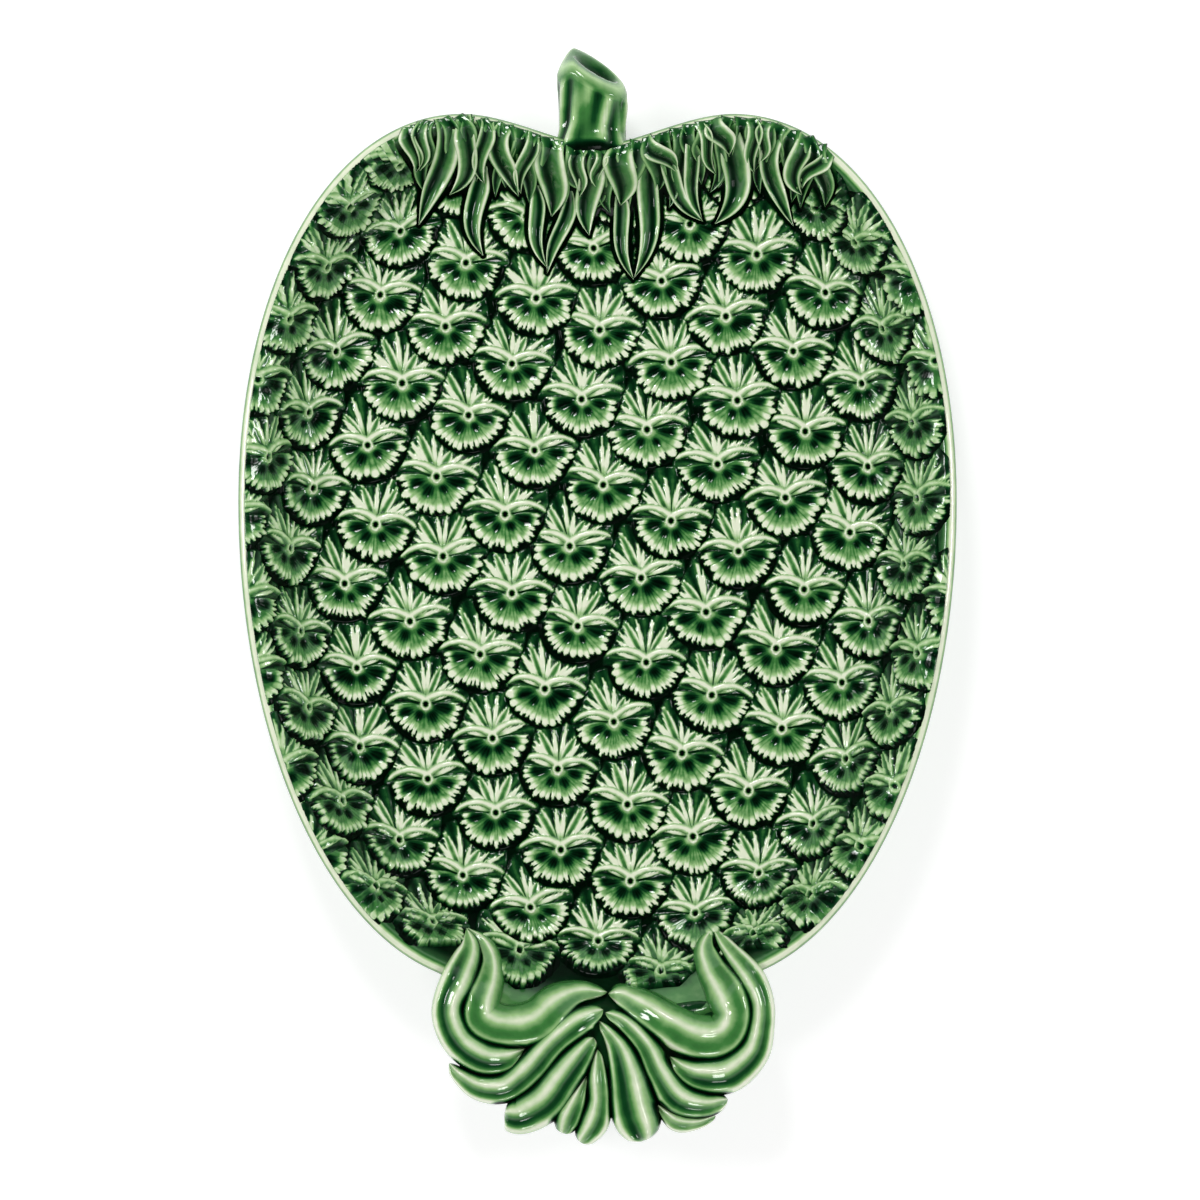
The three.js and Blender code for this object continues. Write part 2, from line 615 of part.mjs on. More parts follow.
// The crown leaves, each cut by those before it
let taken = besideDish.add(besidePlate);
let cleared = prism(BAY.map(([x, y]) => new THREE.Vector2(x, END_Y + y)), 0, ABOVE_ALL);
for (const [name, shape] of Object.entries(CROWN)) {
  const leaf = crownLeaf(shape);
  addPiece(`crown_leaf_${name}`, trimmed(leaf.made.subtract(taken)), paleGlaze);
  taken = taken.add(leaf.room);
  cleared = cleared.add(leaf.room);
}

// The fringe under the stem, each leaf cut by those before it
let fringeTaken = null;
FRINGE.forEach((shape, i) => {
  const leaf = fringeLeaf(shape);
  const fitted = leaf.made.intersect(overInside);
  addPiece(numbered('fringe_leaf', i), trimmed(fringeTaken ? fitted.subtract(fringeTaken) : fitted), paleGlaze);
  fringeTaken = fringeTaken ? fringeTaken.add(leaf.room) : leaf.room;
});

// The rows of eyes, cut by the leaves that lie over them
const covered = cleared.add(fringeTaken);
ROW_STARTS.forEach((_, row) => {
  addPiece(numbered('eye_row', row), trimmed(eyeRow(row).intersect(overInside).subtract(covered)), glaze);
});

export default tray;
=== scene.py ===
# %% [markdown]
# # A pineapple tray in green majolica
# The tray is a shallow dish pressed in a mould. Its well is covered with rows of pineapple eyes, leaves
# hang from the rim under the stem, and a crown of curling leaves is the handle. One green glaze covers it
# all. It runs off the ridges, which stay pale, and pools in the hollows, where it is nearly black. That is
# the whole look of majolica, so each piece here carries its own relief, and one glaze reads the colour from
# it.

import math

import bmesh
import bpy
import numpy as np
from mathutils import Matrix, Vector
from mathutils.geometry import interpolate_bezier


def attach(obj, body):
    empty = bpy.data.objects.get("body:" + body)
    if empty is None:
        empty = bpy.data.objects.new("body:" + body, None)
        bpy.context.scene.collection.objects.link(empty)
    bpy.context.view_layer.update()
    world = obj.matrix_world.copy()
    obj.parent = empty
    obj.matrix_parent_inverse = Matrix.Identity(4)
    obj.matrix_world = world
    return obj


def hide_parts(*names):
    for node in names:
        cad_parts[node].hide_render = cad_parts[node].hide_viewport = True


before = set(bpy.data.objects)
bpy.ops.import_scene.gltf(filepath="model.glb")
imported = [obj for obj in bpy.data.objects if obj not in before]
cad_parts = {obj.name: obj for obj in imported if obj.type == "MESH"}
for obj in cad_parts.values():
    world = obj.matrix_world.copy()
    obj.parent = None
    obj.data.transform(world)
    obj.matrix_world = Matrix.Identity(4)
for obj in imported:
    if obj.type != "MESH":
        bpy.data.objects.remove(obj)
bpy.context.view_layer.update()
print("nodes in the frame:", len(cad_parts))

# %% [markdown]
# ## The camera
# The tray is photographed square from above with a long lens, so its sides hardly show. The camera hangs
# over the tray with the stem up, and its distance and lens give the picture the same width as the
# photograph at the height of the rim.

# %% Camera
MM = 0.001
PICTURE_WIDTH = 437.6 * MM
RIM_HEIGHT = 34.5 * MM
CAMERA_DISTANCE = 2.4
CAMERA_X = 0.9 * MM
CAMERA_Y = -0.55 * MM

camera_data = bpy.data.cameras.new("camera")
camera_data.sensor_width = 36
camera_data.lens = camera_data.sensor_width * CAMERA_DISTANCE / PICTURE_WIDTH
camera = bpy.data.objects.new("camera", camera_data)
camera.location = (CAMERA_X, CAMERA_Y, RIM_HEIGHT + CAMERA_DISTANCE)
bpy.context.collection.objects.link(camera)
bpy.context.scene.camera = camera
print("lens", round(camera_data.lens, 1), "mm")

# %% [markdown]
# ## The floor and the light
# The photograph has a white ground and no hard shadow. The floor is white, and a little of its white is its
# own for the camera, so that only the soft shadow under the tray shows. The room is bright at the sides and
# dim overhead: a flat glossy place then shows its own deep colour, and a slope catches the bright side as a
# thin white line, which is how glaze looks under studio light.

# %% Floor
FLOOR_SIZE = 8.0
FLOOR_LOOK = {
    "Base Color": (0.8, 0.8, 0.8, 1),
    "Roughness": 0.9,
    "Specular IOR Level": 0,
    "Emission Color": (1, 1, 1, 1),
}
FLOOR_OWN_WHITE = 0.55


def feed(tree, node, inputs):
    """Gives a node its inputs: a socket is linked, and a value is kept."""
    for name, given in inputs.items():
        if isinstance(given, bpy.types.NodeSocket):
            tree.links.new(given, node.inputs[name])
        else:
            node.inputs[name].default_value = given


def add_node(tree, kind, inputs, **settings):
    """A new shader node with its settings and inputs."""
    node = tree.nodes.new("ShaderNode" + kind)
    for name, value in settings.items():
        setattr(node, name, value)
    feed(tree, node, inputs)
    return node


def fresh_material(name, look):
    """A new material, its node tree and its shader, which gets this look."""
    material = bpy.data.materials.new(name)
    material.use_nodes = True
    shader = material.node_tree.nodes["Principled BSDF"]
    feed(material.node_tree, shader, look)
    return material, material.node_tree, shader


def add_floor():
    """A wide plane under the tray, white to the camera and to reflections."""
    bm = bmesh.new()
    bmesh.ops.create_grid(bm, x_segments=1, y_segments=1, size=FLOOR_SIZE / 2)
    mesh = bpy.data.meshes.new("floor")
    bm.to_mesh(mesh)
    bm.free()
    floor = bpy.data.objects.new("floor", mesh)
    bpy.context.collection.objects.link(floor)
    material, tree, shader = fresh_material("floor_white", FLOOR_LOOK)
    ray = tree.nodes.new("ShaderNodeLightPath").outputs
    seen = add_node(tree, "Math", {0: ray["Is Camera Ray"], 1: ray["Is Glossy Ray"]}, operation="MAXIMUM")
    own = add_node(tree, "Math", {0: seen.outputs[0], 1: FLOOR_OWN_WHITE}, operation="MULTIPLY")
    feed(tree, shader, {"Emission Strength": own.outputs[0]})
    mesh.materials.append(material)
    return floor


floor = add_floor()
print("floor", FLOOR_SIZE, "m wide")

# %% Room and lamps
ROOM_FALL = {"From Min": 0.2, "From Max": 0.75, "To Min": 0.8, "To Max": 0.04}
LAMPS = {
    "top_box": ((-0.2, 0.85, 0.95), 0.3, 5.0),
    "left_box": ((-0.95, 0.1, 0.8), 0.28, 4.0),
    "right_box": ((0.95, 0.05, 0.85), 0.28, 3.6),
    "front_box": ((0.1, -0.95, 0.75), 0.28, 2.8),
}

room = bpy.data.worlds.new("room")
bpy.context.scene.world = room
room.use_nodes = True
room_tree = room.node_tree
direction = room_tree.nodes.new("ShaderNodeTexCoord").outputs["Generated"]
height = add_node(room_tree, "SeparateXYZ", {0: direction}).outputs["Z"]
fall = add_node(room_tree, "MapRange", {"Value": height, **ROOM_FALL}, interpolation_type="SMOOTHSTEP")
room_ray = room_tree.nodes.new("ShaderNodeLightPath").outputs["Is Camera Ray"]
room_seen = add_node(room_tree, "Math", {0: fall.outputs["Result"], 1: room_ray}, operation="MAXIMUM")
background = room_tree.nodes["Background"]
feed(room_tree, background, {"Color": (1, 1, 1, 1), "Strength": room_seen.outputs[0]})

for lamp_name, (place, size, power) in LAMPS.items():
    lamp_data = bpy.data.lights.new(lamp_name, "AREA")
    lamp_data.size = size
    lamp_data.energy = power
    lamp = bpy.data.objects.new(lamp_name, lamp_data)
    lamp.location = place
    lamp.rotation_euler = Vector(place).to_track_quat("Z", "Y").to_euler()
    bpy.context.collection.objects.link(lamp)
print("lamps:", ", ".join(LAMPS))

# %% [markdown]
# ## The glaze
# One node group turns relief into glaze colour. Relief is a number on every point of a piece: 1 on a ridge,
# where the glaze is thin and the pale body shines through, 0 in a groove, where it pools. A slow noise
# moves the colour a little, as the brush and the kiln do, and a fine one gives the surface the faint ripple
# of fired glass. The gloss is also turned down in the grooves, though the glaze there is as glossy: this is
# painted shade, so that they stay dark.

# %% Glaze group
GLAZE_STOPS = (
    (0.0, (0.0005, 0.004, 0.0016)),
    (0.18, (0.0012, 0.019, 0.0055)),
    (0.36, (0.005, 0.062, 0.014)),
    (0.56, (0.060, 0.24, 0.054)),
    (0.76, (0.39, 0.64, 0.27)),
    (0.95, (0.94, 1.0, 0.77)),
)
# Relief range over which the gloss falls away in the grooves: painted shade
GROOVE_SHADE_RANGE = {"From Min": 0.14, "From Max": 0.48}
GLOSS_WITH_GROOVE_SHADE = {"Specular": (0.04, 0.5), "Coat": (0.0, 0.4)}
MOTTLE_DETAIL = 3
RIPPLE_SCALE = 420


def glaze_group():
    """Relief in; colour, ripple and gloss out, with painted shade that dims the gloss in the grooves."""
    group = bpy.data.node_groups.new("majolica_glaze", "ShaderNodeTree")
    for name in ("Relief", "Mottle", "Mottle Scale"):
        group.interface.new_socket(name, in_out="INPUT", socket_type="NodeSocketFloat")
    group.interface.new_socket("Colour", in_out="OUTPUT", socket_type="NodeSocketColor")
    for name in ("Ripple", *GLOSS_WITH_GROOVE_SHADE):
        group.interface.new_socket(name, in_out="OUTPUT", socket_type="NodeSocketFloat")
    into = group.nodes.new("NodeGroupInput").outputs
    out = group.nodes.new("NodeGroupOutput")
    place = group.nodes.new("ShaderNodeTexCoord").outputs["Object"]
    slow = {"Vector": place, "Scale": into["Mottle Scale"], "Detail": MOTTLE_DETAIL}
    noise = add_node(group, "TexNoise", slow).outputs["Fac"]
    centred = add_node(group, "Math", {0: noise, 1: 0.5}, operation="SUBTRACT").outputs[0]
    parts = {0: centred, 1: into["Mottle"], 2: into["Relief"]}
    moved = add_node(group, "Math", parts, operation="MULTIPLY_ADD").outputs[0]
    ramp = add_node(group, "ValToRGB", {"Fac": moved})
    stops = ramp.color_ramp.elements
    while len(stops) < len(GLAZE_STOPS):
        stops.new(0.5)
    for stop, (position, colour) in zip(stops, GLAZE_STOPS):
        stop.position = position
        stop.color = (*colour, 1)
    ripple = add_node(group, "TexNoise", {"Vector": place, "Scale": RIPPLE_SCALE, "Detail": 1})
    feed(group, out, {"Colour": ramp.outputs["Color"], "Ripple": ripple.outputs["Fac"]})
    # The gloss follows the relief: painted shade that keeps the grooves dark, though the glaze there is
    # glossy
    for output, (dull, bright) in GLOSS_WITH_GROOVE_SHADE.items():
        groove_shade = {"Value": into["Relief"], **GROOVE_SHADE_RANGE, "To Min": dull, "To Max": bright}
        feed(group, out, {output: add_node(group, "MapRange", groove_shade).outputs["Result"]})
    return group


glaze = glaze_group()
print("glaze stops:", len(GLAZE_STOPS))

# %% Glaze materials
GLAZE_LOOK = {"Roughness": 0.1, "IOR": 1.5, "Coat Roughness": 0.03}
RIPPLE_DEPTH = 0.2 * MM


def glazed(name, mottle, mottle_scale, ripple):
    """A glossy glaze whose colour follows the relief of the piece."""
    material, tree, shader = fresh_material(name, GLAZE_LOOK)
    relief = add_node(tree, "Attribute", {}, attribute_name="relief")
    given = {"Relief": relief.outputs["Fac"], "Mottle": mottle, "Mottle Scale": mottle_scale}
    tone = add_node(tree, "Group", given, node_tree=glaze).outputs
    bump = add_node(tree, "Bump", {"Strength": ripple, "Distance": RIPPLE_DEPTH, "Height": tone["Ripple"]})
    feed(tree, shader, {
        "Base Color": tone["Colour"],
        "Specular IOR Level": tone["Specular"],
        "Coat Weight": tone["Coat"],
        "Normal": bump.outputs["Normal"],
    })
    return material


dish_glaze = glazed("dish_glaze", mottle=0.22, mottle_scale=130, ripple=0.25)
eye_glaze = glazed("eye_glaze", mottle=0.3, mottle_scale=420, ripple=0.05)
leaf_glaze = glazed("leaf_glaze", mottle=0.24, mottle_scale=160, ripple=0.15)
print("glazes:", dish_glaze.name, eye_glaze.name, leaf_glaze.name)

# %% [markdown]
# ## Balls of clay
# Every piece is one closed lump, so every piece starts as a ball and is pressed into shape. Blender's UV
# sphere suits this: its points lie in ranks from one pole to the other, and each rank is a ring of even
# turns. A dish, an eye, a leaf and a stem are then only different answers to one question: where does the
# point of this rank and turn go? The moves are worked out for all points at once, because the eyes alone
# have about 700,000.

# %% Ball and kiln helpers
TOP_SHARE = 0.78
UNDER_START = 0.8
UNDER_SHARE = 0.2


def read_all(items, name, size, kind):
    """One property of all items of a mesh in one row of numbers."""
    values = np.empty(size * len(items), dtype=kind)
    items.foreach_get(name, values)
    return values


def clay_balls(name, count, around, along):
    """A mesh of round balls, with the turn number and the rank of every point, one row per ball."""
    ball = bmesh.new()
    bmesh.ops.create_uvsphere(ball, u_segments=around, v_segments=along, radius=1)
    mesh = bpy.data.meshes.new(name)
    ball.to_mesh(mesh)
    ball.free()
    balls = bmesh.new()
    for _ in range(count):
        balls.from_mesh(mesh)
    balls.to_mesh(mesh)
    balls.free()
    points = read_all(mesh.vertices, "co", 3, float).reshape(count, -1, 3)
    turn = np.rint(np.arctan2(points[..., 1], points[..., 0]) * around / (2 * math.pi)) % around
    rank = np.rint(np.arccos(np.clip(points[..., 2], -1, 1)) * along / math.pi)
    return mesh, turn, rank


def lay_flat(mesh, flat):
    """A UV map seen from above, with the faces that look down in a strip of their own."""
    corner = read_all(mesh.loops, "vertex_index", 1, int)
    normals = read_all(mesh.polygons, "normal", 3, float)
    corners = read_all(mesh.polygons, "loop_total", 1, int)
    looks_down = np.repeat(normals.reshape(-1, 3)[:, 2] < 0, corners)
    low, high = flat.min(axis=0), flat.max(axis=0)
    place = ((flat - low) / (high - low))[corner]
    place[:, 0] = np.where(looks_down, UNDER_START + UNDER_SHARE * place[:, 0], TOP_SHARE * place[:, 0])
    mesh.uv_layers.new(name="OFBake").data.foreach_set("uv", place.ravel())


def fire(mesh, points, relief, material, nodes, flat=None):
    """Sets a pressed shape in millimetres with its relief and glaze, in place of any CAD nodes it has."""
    points = points.reshape(-1, 3)
    mesh.vertices.foreach_set("co", (points * MM).ravel())
    mesh.attributes.new("relief", "FLOAT", "POINT").data.foreach_set("value", relief.ravel())
    mesh.update()
    mesh.shade_smooth()
    lay_flat(mesh, points[:, :2] if flat is None else flat.reshape(-1, 2))
    mesh.materials.append(material)
    piece = bpy.data.objects.new(mesh.name, mesh)
    bpy.context.collection.objects.link(piece)
    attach(piece, "root")
    if nodes:
        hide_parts(*nodes)
    return piece


def soft(start, end, value):
    """0 before start, 1 after end and a smooth step between."""
    t = np.clip((value - start) / (end - start), 0, 1)
    return t * t * (3 - 2 * t)


def mix(a, b, share):
    """From a to b by a share."""
    return a + (b - a) * share


def hump(value, middle, width):
    """1 at the middle and a smooth fall to 0 on both sides."""
    return np.exp(-((value - middle) / width) ** 2)


print("helpers ready")

# %% [markdown]
# ## The dish
# From above the dish is a fruit: a dip under the stem, two shoulders, a wide middle and a neck at the
# crown. Four smooth curves give the right half, and the left half is its mirror. Its section is a flat
# floor, a round fillet, a leaning wall and a rounded lip. The wall is kept as a function, because eyes and
# leaves lie on it too.

# %% Dish outline
DIP_Y = 165.5
LOBE = (49.7, 177)
HALF_WIDTH = 131.2
WIDEST_Y = 35.5
NECK = (61, -135.5)
NECK_ANGLE = math.radians(24.5)
NECK_HANDLES = (22, 44)
SIDE_HANDLES = (84.5, 83.5)
LOBE_HANDLES = (45.5, 17)
DIP_HANDLE = 12
END_Y = -153
END_HANDLE = 30
CURVE_POINTS = 80
OUTLINE_POINTS = 360


def dish_outline():
    """The rim seen from above, anticlockwise from the crown end, at even steps."""
    across, along = math.cos(NECK_ANGLE), math.sin(NECK_ANGLE)
    before, after = NECK_HANDLES
    side = (HALF_WIDTH, WIDEST_Y)
    curves = (
        ((0, END_Y), (END_HANDLE, END_Y), (NECK[0] - before * across, NECK[1] - before * along), NECK),
        (NECK, (NECK[0] + after * across, NECK[1] + after * along), (HALF_WIDTH, WIDEST_Y - SIDE_HANDLES[0]),
         side),
        (side, (HALF_WIDTH, WIDEST_Y + SIDE_HANDLES[1]), (LOBE[0] + LOBE_HANDLES[0], LOBE[1]), LOBE),
        (LOBE, (LOBE[0] - LOBE_HANDLES[1], LOBE[1]), (DIP_HANDLE, DIP_Y), (0, DIP_Y)),
    )
    right = []
    for curve in curves:
        knots = [Vector((*knot, 0)) for knot in curve]
        right += [point.xy[:] for point in interpolate_bezier(*knots, CURVE_POINTS)[:-1]]
    right = np.array(right + [(0, DIP_Y)])
    left = right[-2::-1] * (-1, 1)
    loop = np.concatenate([right, left])
    walked = np.concatenate([[0], np.cumsum(np.hypot(*np.diff(loop, axis=0).T))])
    even = np.linspace(0, walked[-1], OUTLINE_POINTS, endpoint=False)
    return np.stack([np.interp(even, walked, loop[:, 0]), np.interp(even, walked, loop[:, 1])], axis=1)


def right_of(way):
    """The way to the right of other ways in plan."""
    return np.stack([way[:, 1], -way[:, 0]], axis=1)


def outward(loop):
    """The way out of an anticlockwise loop at each of its points."""
    along = np.roll(loop, -1, axis=0) - np.roll(loop, 1, axis=0)
    return right_of(along / np.linalg.norm(along, axis=1, keepdims=True))


rim = dish_outline()
rim_way = outward(rim)
print("rim is", round(np.ptp(rim[:, 0]), 1), "by", round(np.ptp(rim[:, 1]), 1), "mm")

# %% Dish section
WELL_DEPTH = 24
WALL_FILLET = 26
WALL_ANGLE = math.radians(52)
WALL_THICKNESS = 5.5
LIP_RADIUS = WALL_THICKNESS / 2
FOOT_HEIGHT = 4
FLOOR_Z = FOOT_HEIGHT + WALL_THICKNESS
FILLET_ARC = WALL_FILLET * WALL_ANGLE
FILLET_OUT = WALL_FILLET * math.sin(WALL_ANGLE)
WALL_RUN = (WELL_DEPTH - WALL_FILLET * (1 - math.cos(WALL_ANGLE))) / math.sin(WALL_ANGLE)
WALL_ARC = FILLET_ARC + WALL_RUN
WALL_TOP_OUT = FILLET_OUT + WALL_RUN * math.cos(WALL_ANGLE)
LIP_OUT = WALL_TOP_OUT + LIP_RADIUS * math.sin(WALL_ANGLE)
LIP_Z = FLOOR_Z + WELL_DEPTH - LIP_RADIUS * math.cos(WALL_ANGLE)
CREST_Z = LIP_Z + LIP_RADIUS
RIM_REACH = LIP_OUT + LIP_RADIUS
OVER_LIP = math.radians(30)


def wall_at(arc):
    """The inside of the dish at an arc length from the floor's edge: how far out, how far up and its lean."""
    lean = np.clip(arc / WALL_FILLET, 0, WALL_ANGLE)
    past = np.clip(arc - FILLET_ARC, 0, WALL_RUN)
    turned = lean - np.clip((arc - WALL_ARC) / LIP_RADIUS, 0, WALL_ANGLE + OVER_LIP)
    out = WALL_FILLET * np.sin(lean) + past * np.cos(lean) + LIP_RADIUS * (np.sin(lean) - np.sin(turned))
    up = WALL_FILLET * (1 - np.cos(lean)) + past * np.sin(lean) + LIP_RADIUS * (np.cos(turned) - np.cos(lean))
    return np.where(arc < 0, arc, out), up, turned


def arc_at(out):
    """The arc length at which the inside of the dish is this far out from the floor's edge."""
    in_fillet = WALL_FILLET * np.arcsin(np.clip(out / WALL_FILLET, 0, math.sin(WALL_ANGLE)))
    past = np.clip(out - FILLET_OUT, 0, WALL_TOP_OUT - FILLET_OUT) / math.cos(WALL_ANGLE)
    turned = np.arcsin(np.clip((LIP_OUT - out) / LIP_RADIUS, -math.sin(OVER_LIP), math.sin(WALL_ANGLE)))
    return np.where(out < 0, out, in_fillet + past + LIP_RADIUS * (WALL_ANGLE - turned))


floor_edge = rim - rim_way * RIM_REACH
floor_way = outward(floor_edge)


def from_floor_edge(x, y):
    """For places in plan: the nearest place on the floor's edge, the way out there and the distance."""
    place = np.stack([np.ravel(x), np.ravel(y)], axis=1)
    far = (floor_edge ** 2).sum(axis=1) - 2 * place @ floor_edge.T
    nearest = far.argmin(axis=1)
    best = np.full(len(place), np.inf)
    edge, way = np.empty_like(place), np.empty_like(place)
    for first in (nearest - 1, nearest):
        a, b = floor_edge[first], floor_edge[(first + 1) % len(floor_edge)]
        share = np.clip(((place - a) * (b - a)).sum(axis=1) / ((b - a) ** 2).sum(axis=1), 0, 1)[:, None]
        touch = mix(a, b, share)
        gap = np.linalg.norm(place - touch, axis=1)
        closer = gap < best
        edge[closer] = touch[closer]
        way[closer] = mix(floor_way[first], floor_way[(first + 1) % len(floor_edge)], share)[closer]
        best = np.where(closer, gap, best)
    way /= np.linalg.norm(way, axis=1, keepdims=True)
    out = best * np.where(((place - edge) * way).sum(axis=1) < 0, -1, 1)
    return edge.reshape(*np.shape(x), 2), way.reshape(*np.shape(x), 2), out.reshape(np.shape(x))


print("well", WELL_DEPTH, "mm deep, crest at", round(CREST_Z, 2), "mm")

# %% [markdown]
# The dish itself is a ball pressed hollow: one pole is the middle of the well and the other the middle of
# the underside. Its relief is dark in the well, where the glaze pools between the eyes, pale over the lip,
# and a middle green below. The end of the well at the crown is a smooth bay without eyes: its wall is
# pushed out a little, and the glaze there is a thinner green. On that green the bay has painted shade,
# darker next to the eyes and darkest in the middle, and painted light that grows towards the crown.

# %% Smooth bay
BAY = ((-47, 26), (-30, 14.5), (-14, 12), (0, 11), (16, 12), (30, 15.5), (41, 25))
BAY_PUSH = ((-52, 0), (-43, 5), (-31, 6), (-18, 3.5), (0, 2.5), (16, 3), (30, 6), (38, 8), (46, 7.5), (54, 0))


def in_bay(x, y):
    """How far a place in plan is inside the smooth bay at the crown end of the well."""
    return np.interp(x, *zip(*BAY)) + END_Y - y


def bay_push(x, y, z):
    """How far the wall is pushed out towards the crown at the smooth bay."""
    at_end = soft(END_Y + 40, END_Y + 26, y)
    return np.interp(x, *zip(*BAY_PUSH)) * at_end * soft(FLOOR_Z + 2, FLOOR_Z + WELL_DEPTH, z)


print("bay pushed out by up to", max(push for _, push in BAY_PUSH), "mm")

# %% Dish
FLOOR_RANKS = 6
FILLET_RANKS = 9
WALL_RANKS = 7
LIP_RANKS = 12
WELL_TONE = 0.03
WALL_TOP_TONE = 0.43
LIP_TONES = (0.5, 0.95, 0.58)
UNDER_TONE = 0.46
# Bay green, from painted shade by the eyes to painted light at the crown, and painted shade in its middle
BAY_GREEN_SHADE_TO_LIGHT = (0.3, 0.56)
BAY_MIDDLE_SHADE_X = 2
BAY_MIDDLE_SHADE = 0.35


def dish_section():
    """Rings from the middle of the well to the middle of the underside: out, height and relief."""
    rings = []
    arcs = np.concatenate([
        np.linspace(0, FILLET_ARC, FILLET_RANKS, endpoint=False),
        np.linspace(FILLET_ARC, WALL_ARC, WALL_RANKS),
    ])
    out, up, lean = wall_at(arcs)
    for o, u, arc in zip(out, up, arcs):
        tone = mix(WELL_TONE, WALL_TOP_TONE, float(soft(WALL_ARC - 6, WALL_ARC, arc)))
        rings.append((o, FLOOR_Z + u, tone))
    for i in range(1, LIP_RANKS):
        turn = WALL_ANGLE + math.pi / 2 - math.pi * i / LIP_RANKS
        share = i / LIP_RANKS
        pale = mix(LIP_TONES[0], LIP_TONES[1], float(soft(0.16, 0.34, share)))
        pale = mix(pale, LIP_TONES[2], float(soft(0.48, 0.62, share)))
        rings.append((LIP_OUT + LIP_RADIUS * math.cos(turn), LIP_Z + LIP_RADIUS * math.sin(turn), pale))
    for o, u, slope in zip(out[::-1], up[::-1], lean[::-1]):
        under_out = o + WALL_THICKNESS * math.sin(slope)
        rings.append((under_out, FLOOR_Z + u - WALL_THICKNESS * math.cos(slope), UNDER_TONE))
    return rings


def press_dish():
    """The whole shell, from one ball."""
    rings = dish_section()
    along = 2 * FLOOR_RANKS + len(rings) - 1
    mesh, (turn,), (rank,) = clay_balls("tray_shell", 1, OUTLINE_POINTS, along)
    turn, rank = turn.astype(int), rank.astype(int)
    ring = np.clip(rank - FLOOR_RANKS, 0, len(rings) - 1)
    out, z, relief = np.array(rings).T[:, ring]
    plan = floor_edge[turn] + rim_way[turn] * out[:, None]
    middle = np.array((0.0, (DIP_Y + END_Y) / 2))
    shrink = np.minimum(np.minimum(rank, along - rank) / FLOOR_RANKS, 1)[:, None]
    plan = mix(middle, plan, shrink)
    at_crown = soft(4, -2, plan[:, 1] - END_Y - 34) * soft(56, 46, np.abs(plan[:, 0]))
    bay = soft(-6, 2, in_bay(*plan.T)) * at_crown
    plan[:, 1] -= bay_push(*plan.T, z)
    well = rank < FLOOR_RANKS + FILLET_RANKS + WALL_RANKS + LIP_RANKS // 2
    # Painted shade next to the eyes and in the middle of the bay, and painted light towards the crown
    bay_green_and_light = mix(*BAY_GREEN_SHADE_TO_LIGHT, soft(0, 7, in_bay(*plan.T)))
    bay_green_and_light = bay_green_and_light * mix(BAY_MIDDLE_SHADE, 1, soft(6, 14, np.abs(plan[:, 0] - BAY_MIDDLE_SHADE_X)))
    relief = np.where(well, mix(relief, bay_green_and_light, bay), relief)
    points = np.column_stack([plan, z])
    return fire(mesh, points, relief, dish_glaze, ["tray_shell"])


dish = press_dish()
print(dish.name, len(dish.data.polygons), "faces")

# %% [markdown]
# ## The leaves
# A leaf is a ball drawn out: one pole is its root, the other its tip, and each rank is a section. The
# section goes from the right edge over the top to the left edge and back underneath. Two raised margins
# with a gutter between them hold the glaze: pale on the margins, green in the gutter, and dark where the
# sides drop to the next leaf.


# %% Leaf helpers
def leaf_section(turn, rank, around, under, along):
    """Across a leaf from 1 at the right to -1, what is on top, its two poles and the share of its length."""
    top = around - under
    over = turn < top
    pole = (rank == 0) | (rank == along)
    across = np.where(over, 1 - 2 * turn / (top - 1), -1 + 2 * (turn - top + 1) / (under + 1))
    return np.where(pole, 0, across), over, pole, np.clip((rank - 1) / (along - 2), 0, 1)


def leaf_places(line, t):
    """Places and the way along a smooth line through a leaf's own places, whatever they hold."""
    line = np.array(line, dtype=float)
    line = np.vstack([2 * line[0] - line[1], line, 2 * line[-1] - line[-2]])
    spot = np.clip(t, 0, 1) * (len(line) - 3)
    first = np.minimum(spot.astype(int), len(line) - 4)
    s = (spot - first)[..., None]
    a, b, c, d = (line[first + i] for i in range(4))
    bend = 2 * a - 5 * b + 4 * c - d
    twist = 3 * b - a - 3 * c + d
    place = 0.5 * (2 * b + (c - a) * s + bend * s ** 2 + twist * s ** 3)
    way = 0.5 * ((c - a) + 2 * bend * s + 3 * twist * s ** 2)
    way = way[..., :2] / np.linalg.norm(way[..., :2], axis=-1, keepdims=True)
    return place, way


def leaf_gap(plan, cover):
    """How far places in plan are from the nearest of these leaves, below 0 on a leaf."""
    return (np.linalg.norm(plan[:, None] - cover[:, :2], axis=-1) - cover[:, 2]).min(axis=1)


print("leaf helpers ready")

# %% [markdown]
# The fringe hangs from the rim under the stem. Each leaf has a place along the rim, a drop below it, a tip,
# a sideways bow and a width, as counted on the real tray. The front leaves come first in the list and stand
# a little higher than those behind them.

